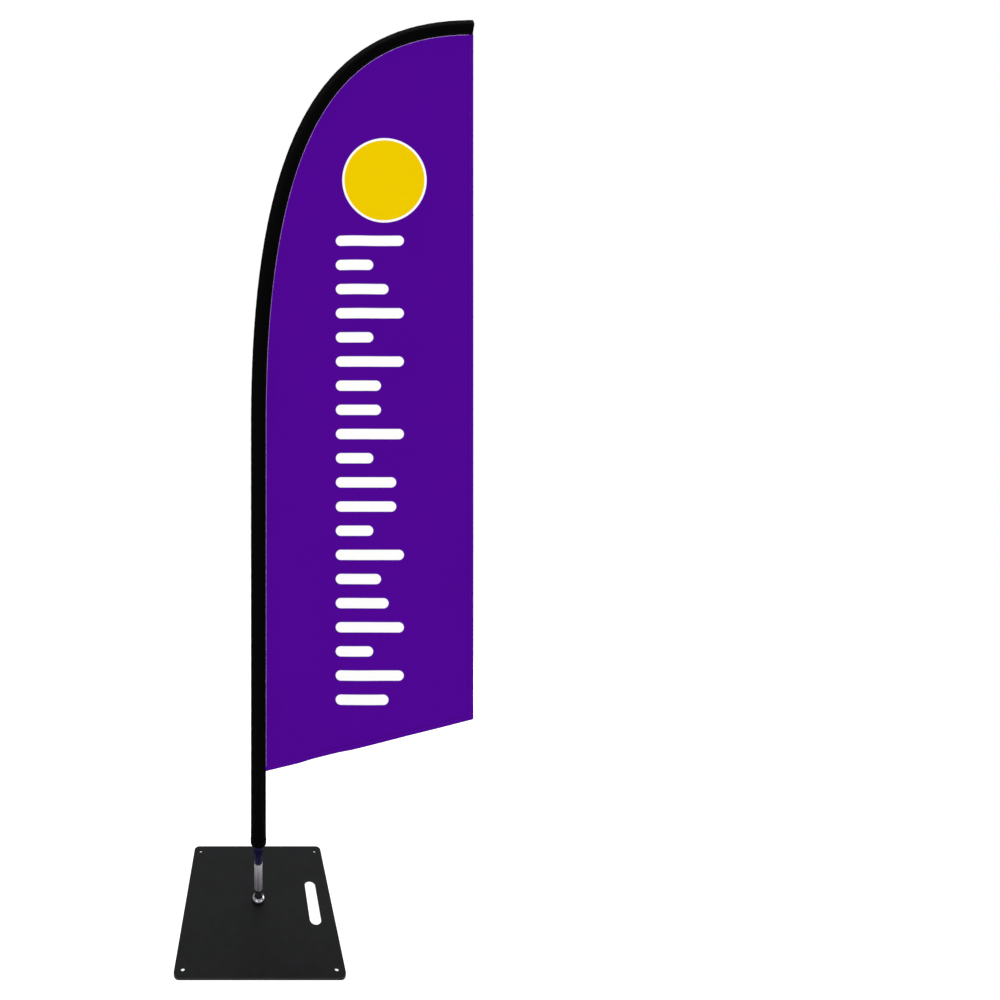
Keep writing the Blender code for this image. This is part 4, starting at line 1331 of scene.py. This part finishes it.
def filling(border):
    """Points of a triangular grid that lie inside a border and clear of its edge."""
    edge = np.array(border)
    following = np.roll(edge, -1, axis=0)
    spread_x = np.arange(edge[:, 0].min(), edge[:, 0].max(), CLOTH_STEP)
    spread_z = np.arange(edge[:, 1].min(), edge[:, 1].max(), CLOTH_STEP * math.sqrt(3) / 2)
    run = following - edge
    long = (run**2).sum(1)
    climb = np.where(run[:, 1] == 0, 1e-12, run[:, 1])
    kept = []
    for row, z in enumerate(spread_z):
        for x in spread_x + (row % 2) * CLOTH_STEP / 2:
            away = np.array([x, z]) - edge
            share = np.clip((away * run).sum(1) / long, 0, 1)
            gap = np.linalg.norm(away - share[:, None] * run, axis=1).min()
            crosses = (edge[:, 1] > z) != (following[:, 1] > z)
            at = edge[:, 0] + (z - edge[:, 1]) / climb * run[:, 0]
            if gap > EDGE_ROOM * CLOTH_STEP and (crosses & (at > x)).sum() % 2 == 1:
                kept.append((x, z))
    return kept


def hanging_cloth(outline, ripple_limit):
    """The panel's middle surface as hung from its sewn edge: flat points, hung points, faces."""
    sewn, rest = outline.panel_corners(CLOTH_STEP)
    border = sewn + rest
    flat = [Vector(p) for p in border + filling(border)]
    made = delaunay_2d_cdt(flat, [], [list(range(len(border)))], 1, 1e-7)
    flat = np.array([tuple(p) for p in made[0]])
    faces = [tuple(f) for f in made[2]]
    x, z = flat[:, 0], flat[:, 1]
    from_sleeve = np.min(
        np.linalg.norm(flat[:, None, :] - np.array(sewn)[None, ::3, :], axis=2), axis=1
    )
    freedom = 1 - np.exp(-from_sleeve / 0.09)
    wave = freedom * (
        sines(x - 0.35 * z, (0.0016, 0.37, 0.4), (0.0009, 0.21, 2.0))
        + sines(z + 0.6 * x, (0.0012, 0.83, 1.0), (0.0006, 0.31, 0.2))
    )
    points = np.stack([x, wave, z], axis=1)
    points = settle(points, faces, len(sewn), flat)
    depth = eased(points[:, 1], faces, EASING_ROUNDS)
    depth = ripple_limit * np.tanh(depth / ripple_limit)
    points[:, 1] = depth * smooth(ramp(from_sleeve, 0, RIPPLE_RAMP))
    slip = np.clip(points[:, [0, 2]] - flat, -MOST_SLIP, MOST_SLIP)
    points[:, [0, 2]] = flat + slip * ramp(from_sleeve, 0, 0.03)[:, None]
    return flat, points, faces


def eased(depth, faces, rounds):
    """Tension evens the cloth out: each point moves to the mean of its neighbours."""
    corners = np.array(faces)
    ends = np.concatenate([corners[:, [0, 1]], corners[:, [1, 2]], corners[:, [2, 0]]])
    ends = np.unique(np.sort(ends, axis=1), axis=0)
    count = np.bincount(ends.ravel(), minlength=len(depth))
    for _ in range(rounds):
        total = np.bincount(ends[:, 0], depth[ends[:, 1]], len(depth))
        total += np.bincount(ends[:, 1], depth[ends[:, 0]], len(depth))
        depth = total / np.maximum(count, 1)
    return depth


def settle(points, faces, sewn_count, flat):
    """Lets the cloth hang from its sewn edge for a while, and gives back where it came to."""
    scene = bpy.context.scene
    cloth = from_points("cloth_trial", points, faces)
    sewn = cloth.vertex_groups.new(name="sewn")
    edge = flat[:sewn_count]
    places = np.array([[v.co.x, v.co.z] for v in cloth.data.vertices])
    off_edge = [np.abs(edge - place).max(axis=1).min() for place in places]
    sewn.add([i for i, off in enumerate(off_edge) if off < MERGE], 1.0, "REPLACE")
    hang = cloth.modifiers.new("hang", "CLOTH")
    for setting, value in CLOTH_FEEL.items():
        setattr(hang.settings, setting, value)
    hang.settings.vertex_group_mass = "sewn"
    hang.collision_settings.use_collision = False
    hang.point_cache.frame_start = 1
    hang.point_cache.frame_end = CLOTH_FRAMES
    for at in range(1, CLOTH_FRAMES + 1):
        scene.frame_set(at)
    apply_modifiers(cloth)
    scene.frame_set(1)
    hung = np.array([v.co for v in cloth.data.vertices], float)
    bpy.data.objects.remove(cloth, do_unlink=True)
    if not np.isfinite(hung).all():
        raise RuntimeError("the cloth didn't settle")
    return hung


class FLAG_OT_panels(bpy.types.Operator):
    """Hangs the two printed faces and the block-out liner between them"""

    bl_idname = "flag.panels"
    bl_label = "Printed Panels"

    def execute(self, context):
        panel = context.scene.flag_panel
        outline = Outline(context.scene.flag_sleeve)
        flat, points, faces = hanging_cloth(outline, panel.ripple)
        shape = from_points("panel_middle", points, faces)
        outward(shape)
        if sum(f.normal.y * f.area for f in shape.data.polygons) > 0:
            shape.data.flip_normals()
        middle = np.array([v.co for v in shape.data.vertices], float)
        around = np.array([v.normal for v in shape.data.vertices], float)
        corners = [tuple(f.vertices) for f in shape.data.polygons]
        bpy.data.objects.remove(shape, do_unlink=True)
        for name, side, finish, cad_node in (
            ("printed_front", 1, "print", "front_panel"),
            ("blockout_layer", 0, "liner", "blockout_liner"),
            ("printed_back", -1, "print", "back_panel"),
        ):
            moved = middle + around * (side * panel.pitch)
            layer = from_points(name, moved, corners)
            thicken(layer, panel.layer, 0.0)
            finish_piece(layer, "flag_top", look(finish), (cad_node,), 60)
        context.scene["flag_cloth"] = [
            middle.ravel().tolist(),
            [i for corner in corners for i in corner],
        ]
        return {"FINISHED"}


def kept_cloth():
    """The hung middle surface, kept by the panels' operator, as a tree to measure from."""
    flat_points, flat_corners = bpy.context.scene["flag_cloth"]
    points = np.array(flat_points, float).reshape(-1, 3)
    corners = np.array(flat_corners, int).reshape(-1, 3)
    return BVHTree.FromPolygons(points.tolist(), corners.tolist())


def cloth_depth(tree, x, z):
    """Depth of the cloth's middle at a place across and up."""
    hit = tree.ray_cast(Vector((x, -0.2, z)), Vector((0, 1, 0)))[0]
    return hit.y if hit else tree.find_nearest(Vector((x, 0, z)))[0].y


def bound_edge(outline, step):
    """(point, inward normal) down the free edge and along the bottom, mitred at the corner."""
    top = outline.bend(1.0)[0] + Vector((0, 0, -outline.panel_offset))
    corner = Vector((outline.reach, 0, outline.free_z))
    tail = Vector((outline.panel_offset, 0, outline.tail_z))
    back = (tail - corner).normalized()
    first_in = Vector((-1, 0, 0))
    second_in = Vector((back.z, 0, -back.x))
    mitre = (first_in + second_in) / (1 + first_in.dot(second_in))
    line = []
    count = round((corner - top).length / step)
    line += [(top.lerp(corner, i / count), first_in) for i in range(count)]
    line.append((corner, mitre))
    count = round((tail - corner).length / step)
    line += [(corner.lerp(tail, i / count), second_in) for i in range(1, count + 1)]
    return line


class FLAG_OT_hem(bpy.types.Operator):
    """Binds the free edge and the bottom edge with a folded hem"""

    bl_idname = "flag.hem"
    bl_label = "Bound Edge"

    def execute(self, context):
        panel = context.scene.flag_panel
        outline = Outline(context.scene.flag_sleeve)
        tree = kept_cloth()
        line = bound_edge(outline, 0.008)
        half = panel.pitch + panel.layer / 2 + HEM_STAND
        width = panel.hem_width
        crease, fold = 0.0012, 0.0011
        turns = [math.radians(a) for a in (20, 50, 90, 130, 160)]
        section = [(width, -half), (width * 0.55, -half), (crease, -half)]
        section += [(0.0002 - fold * math.sin(a), -half * math.cos(a)) for a in turns]
        section += [(crease, half), (width * 0.55, half), (width, half)]
        points, faces = [], []
        for row, (place, inward) in enumerate(line):
            depth = cloth_depth(tree, *(place + inward * 0.002).xz)
            for u, v in section:
                spot = place + inward * u
                if u > 0.004:
                    depth = cloth_depth(tree, spot.x, spot.z)
                points.append((spot.x, depth + v, spot.z))
            if row:
                a, b = (row - 1) * len(section), row * len(section)
                for i in range(len(section) - 1):
                    faces.append((a + i, a + i + 1, b + i + 1, b + i))
        hem = from_points("bound_edge", points, faces)
        outward(hem)
        thicken(hem, HEM_TAPE, 1.0)
        finish_piece(hem, "flag_top", look("print"), (), 50)
        return {"FINISHED"}


def one_stitch(length, radius):
    """One short thread lying along X, thinner at both ends where it dives into the cloth."""
    lying = (0, math.radians(90), 0)
    stitch = cylinder("stitch", STITCH_SIDES, radius, length * 0.6, rotation=lying)
    bpy.ops.object.transform_apply(location=True, rotation=True, scale=True)
    edit_mode()
    for side in (1, -1):
        pick(stitch, "FACE", lambda f: f.normal.x * side > 0.9)
        bpy.ops.mesh.extrude_region_move(
            TRANSFORM_OT_translate={"value": (side * length * 0.2, 0, -radius * 0.7)}
        )
        bpy.ops.transform.resize(value=(1, 0.45, 0.45))
    edit_mode(False)
    outward(stitch)
    return stitch


def stitched(name, rows, finish, length, radius):
    """Lays one stitch at every (place, heading, up) of the rows, all in one mesh."""
    model = one_stitch(length, radius)
    shape = np.array([v.co for v in model.data.vertices], float)
    model_faces = [tuple(f.vertices) for f in model.data.polygons]
    bpy.data.objects.remove(model, do_unlink=True)
    points, faces = [], []
    for place, heading, up in rows:
        heading = Vector(heading).normalized()
        aside = Vector(up).cross(heading).normalized()
        up = heading.cross(aside)
        turn = np.array([heading, aside, up], float)
        first = len(points)
        points += (shape @ turn + np.array(place, float)).tolist()
        faces += [tuple(first + i for i in face) for face in model_faces]
    sewn = from_points(name, points, faces)
    finish_piece(sewn, "flag_top", look(finish), (), 60)


def surface_tree(piece):
    shape = bmesh.new()
    shape.from_mesh(piece.data)
    tree = BVHTree.FromBMesh(shape)
    shape.free()
    return tree


def seam_stitches(outline, sleeve_tree, pitch):
    """Where the seam's stitches lie on the sleeve: (place, heading, up) for each."""
    away, stand = 0.05, 0.00012
    rows = []
    line = outline.pole_line(pitch)
    for (at, point, inward, _), (_, after, after_in, _) in zip(line, line[1:]):
        if at < SEAM_START:
            continue
        for offset in SEAM_ROWS:
            place = point + inward * offset
            heading = after + after_in * offset - place
            for side in (-1, 1):
                hit, normal, _, _ = sleeve_tree.ray_cast(
                    place + Vector((0, side * away, 0)), Vector((0, -side, 0))
                )
                if hit:
                    rows.append((hit + Vector((0, side * stand, 0)), heading, normal))
    return rows


def join_stitches(outline, pitch):
    """The pale thread along the line where the panel meets the sleeve."""
    stand = 0.0012
    rows = []
    line = outline.pole_line(pitch)
    for (_, point, inward, _), (_, after, after_in, _) in zip(line, line[1:]):
        place = point + inward * outline.panel_offset
        if place.z > outline.tail_z + 0.003:
            heading = after + after_in * outline.panel_offset - place
            for side in (-1, 1):
                rows.append((place + Vector((0, side * stand, 0)), heading, (0, side, 0)))
    return rows


def hem_stitches(outline, panel):
    """The row of stitches along the bound edge, on both faces."""
    rows = []
    cloth = kept_cloth()
    edge = bound_edge(outline, panel.stitch)
    inset = panel.hem_width * HEM_ROW
    half = panel.pitch + panel.layer / 2 + HEM_THREAD_STAND
    for (place, inward), (after, after_in) in zip(edge, edge[1:]):
        spot, onward = place + inward * inset, after + after_in * inset
        depth, next_depth = (cloth_depth(cloth, p.x, p.z) for p in (spot, onward))
        for side in (-1, 1):
            here = Vector((spot.x, depth + side * half, spot.z))
            there = Vector((onward.x, next_depth + side * half, onward.z))
            rows.append(((here + there) / 2, there - here, (0, side, 0)))
    return rows


def mouth_stitches(outline, sleeve_tree):
    """The rows of stitches round the folded hem at the sleeve's mouth."""
    away, stand = 0.08, 0.00008
    rows = []
    for height in MOUTH_ROWS:
        for i in range(MOUTH_STITCHES):
            turn = 2 * math.pi * i / MOUTH_STITCHES
            out = Vector((math.cos(turn), math.sin(turn), 0))
            origin = out * away + Vector((0, 0, outline.mouth + height))
            hit, normal, _, _ = sleeve_tree.ray_cast(origin, -out)
            if hit:
                heading = (-math.sin(turn), math.cos(turn), 0)
                rows.append((hit + out * stand, heading, normal))
    return rows


class FLAG_OT_stitches(bpy.types.Operator):
    """Sews the seam, the hem and the sleeve's mouth"""

    bl_idname = "flag.stitches"
    bl_label = "Stitching"

    def execute(self, context):
        panel = context.scene.flag_panel
        outline = Outline(context.scene.flag_sleeve)
        pitch = panel.stitch
        sleeve_tree = surface_tree(bpy.data.objects["pole_sleeve"])
        seam = seam_stitches(outline, sleeve_tree, pitch)
        join = join_stitches(outline, pitch)
        hem = hem_stitches(outline, panel)
        mouth = mouth_stitches(outline, sleeve_tree)
        stitched("seam_stitches", seam, "black_thread", pitch * 0.72, 0.00030)
        stitched("join_thread", join, "pale_thread", pitch * 0.96, 0.00042)
        stitched("hem_stitches", hem, "ground_thread", pitch * 0.70, 0.00028)
        stitched("mouth_stitches", mouth, "black_thread", 0.0026, 0.00028)
        return {"FINISHED"}


class FLAG_OT_inner_looks(bpy.types.Operator):
    """Gives the bearings, spacers, rings and rods inside their finishes"""

    bl_idname = "flag.inner_looks"
    bl_label = "Inner Finishes"

    def execute(self, context):
        slots = {
            "zinc": ("axle_nut",),
            "steel": ("bearing_collar", "inner_spacer", "outer_spacer"),
            "black_steel": ("retaining_ring",),
            "rubber": ("lower_o_ring", "upper_o_ring"),
            "cage_nylon": ("lower_ball_cage", "upper_ball_cage"),
            "composite": ("middle_tube", "tip_rod"),
            "plastic": ("tip_cap",),
            "aluminium": ("lower_ferrule", "middle_ferrule", "middle_stop_ring", "tip_stop_ring"),
            "bearing_steel": [
                name
                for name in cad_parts
                if name.endswith("_race") or "_ball_" in name and name[-1].isdigit()
            ],
        }
        for finish, nodes in slots.items():
            for name in nodes:
                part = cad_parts[name]
                part.data.materials.clear()
                part.data.materials.append(look(finish))
        bare = [
            name
            for name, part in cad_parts.items()
            if not part.hide_render and part.data.materials[0] not in LOOKS.values()
        ]
        if bare:
            raise RuntimeError(f"no finish for {bare}")
        return {"FINISHED"}


class FLAG_PT_builder(bpy.types.Panel):
    """Lists the flag's pieces and their sizes"""

    bl_idname = "FLAG_PT_builder"
    bl_label = "Feather Flag"
    bl_space_type = "VIEW_3D"
    bl_region_type = "UI"
    bl_category = "Flag"

    def draw(self, context):
        for title, settings, operators in SECTIONS:
            box = self.layout.box()
            box.label(text=title)
            group = getattr(context.scene, settings)
            for name in group.bl_rna.properties.keys():
                if name not in {"rna_type", "name"}:
                    box.prop(group, name)
            for operator in operators:
                box.operator(operator.bl_idname)


SECTIONS = (
    ("Stage", "flag_stage", (FLAG_OT_stage,)),
    ("Base plate", "flag_plate", (FLAG_OT_plate,)),
    ("Spindle", "flag_spindle", (FLAG_OT_axle, FLAG_OT_spindle)),
    ("Pole", "flag_pole", (FLAG_OT_pole,)),
    ("Sleeve", "flag_sleeve", (FLAG_OT_sleeve, FLAG_OT_sleeve_fittings)),
    (
        "Panel",
        "flag_panel",
        (FLAG_OT_panels, FLAG_OT_hem, FLAG_OT_stitches, FLAG_OT_inner_looks),
    ),
)
SETTINGS = {
    "flag_stage": StageSettings,
    "flag_plate": PlateSettings,
    "flag_spindle": SpindleSettings,
    "flag_pole": PoleSettings,
    "flag_sleeve": SleeveSettings,
    "flag_panel": PanelSettings,
}
CLASSES = (
    *SETTINGS.values(),
    *(operator for _, _, operators in SECTIONS for operator in operators),
    FLAG_PT_builder,
)


def register():
    for item in CLASSES:
        bpy.utils.register_class(item)
    for name, group in SETTINGS.items():
        setattr(bpy.types.Scene, name, PointerProperty(type=group))


def unregister():
    for name in SETTINGS:
        delattr(bpy.types.Scene, name)
    for item in reversed(CLASSES):
        bpy.utils.unregister_class(item)


def main():
    register()
    bpy.ops.flag.stage()
    bpy.ops.flag.plate()
    bpy.ops.flag.axle()
    bpy.ops.flag.spindle()
    bpy.ops.flag.pole()
    bpy.ops.flag.sleeve()
    bpy.ops.flag.sleeve_fittings()
    bpy.ops.flag.panels()
    bpy.ops.flag.hem()
    bpy.ops.flag.stitches()
    bpy.ops.flag.inner_looks()
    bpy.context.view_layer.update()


if __name__ == "__main__":
    main()
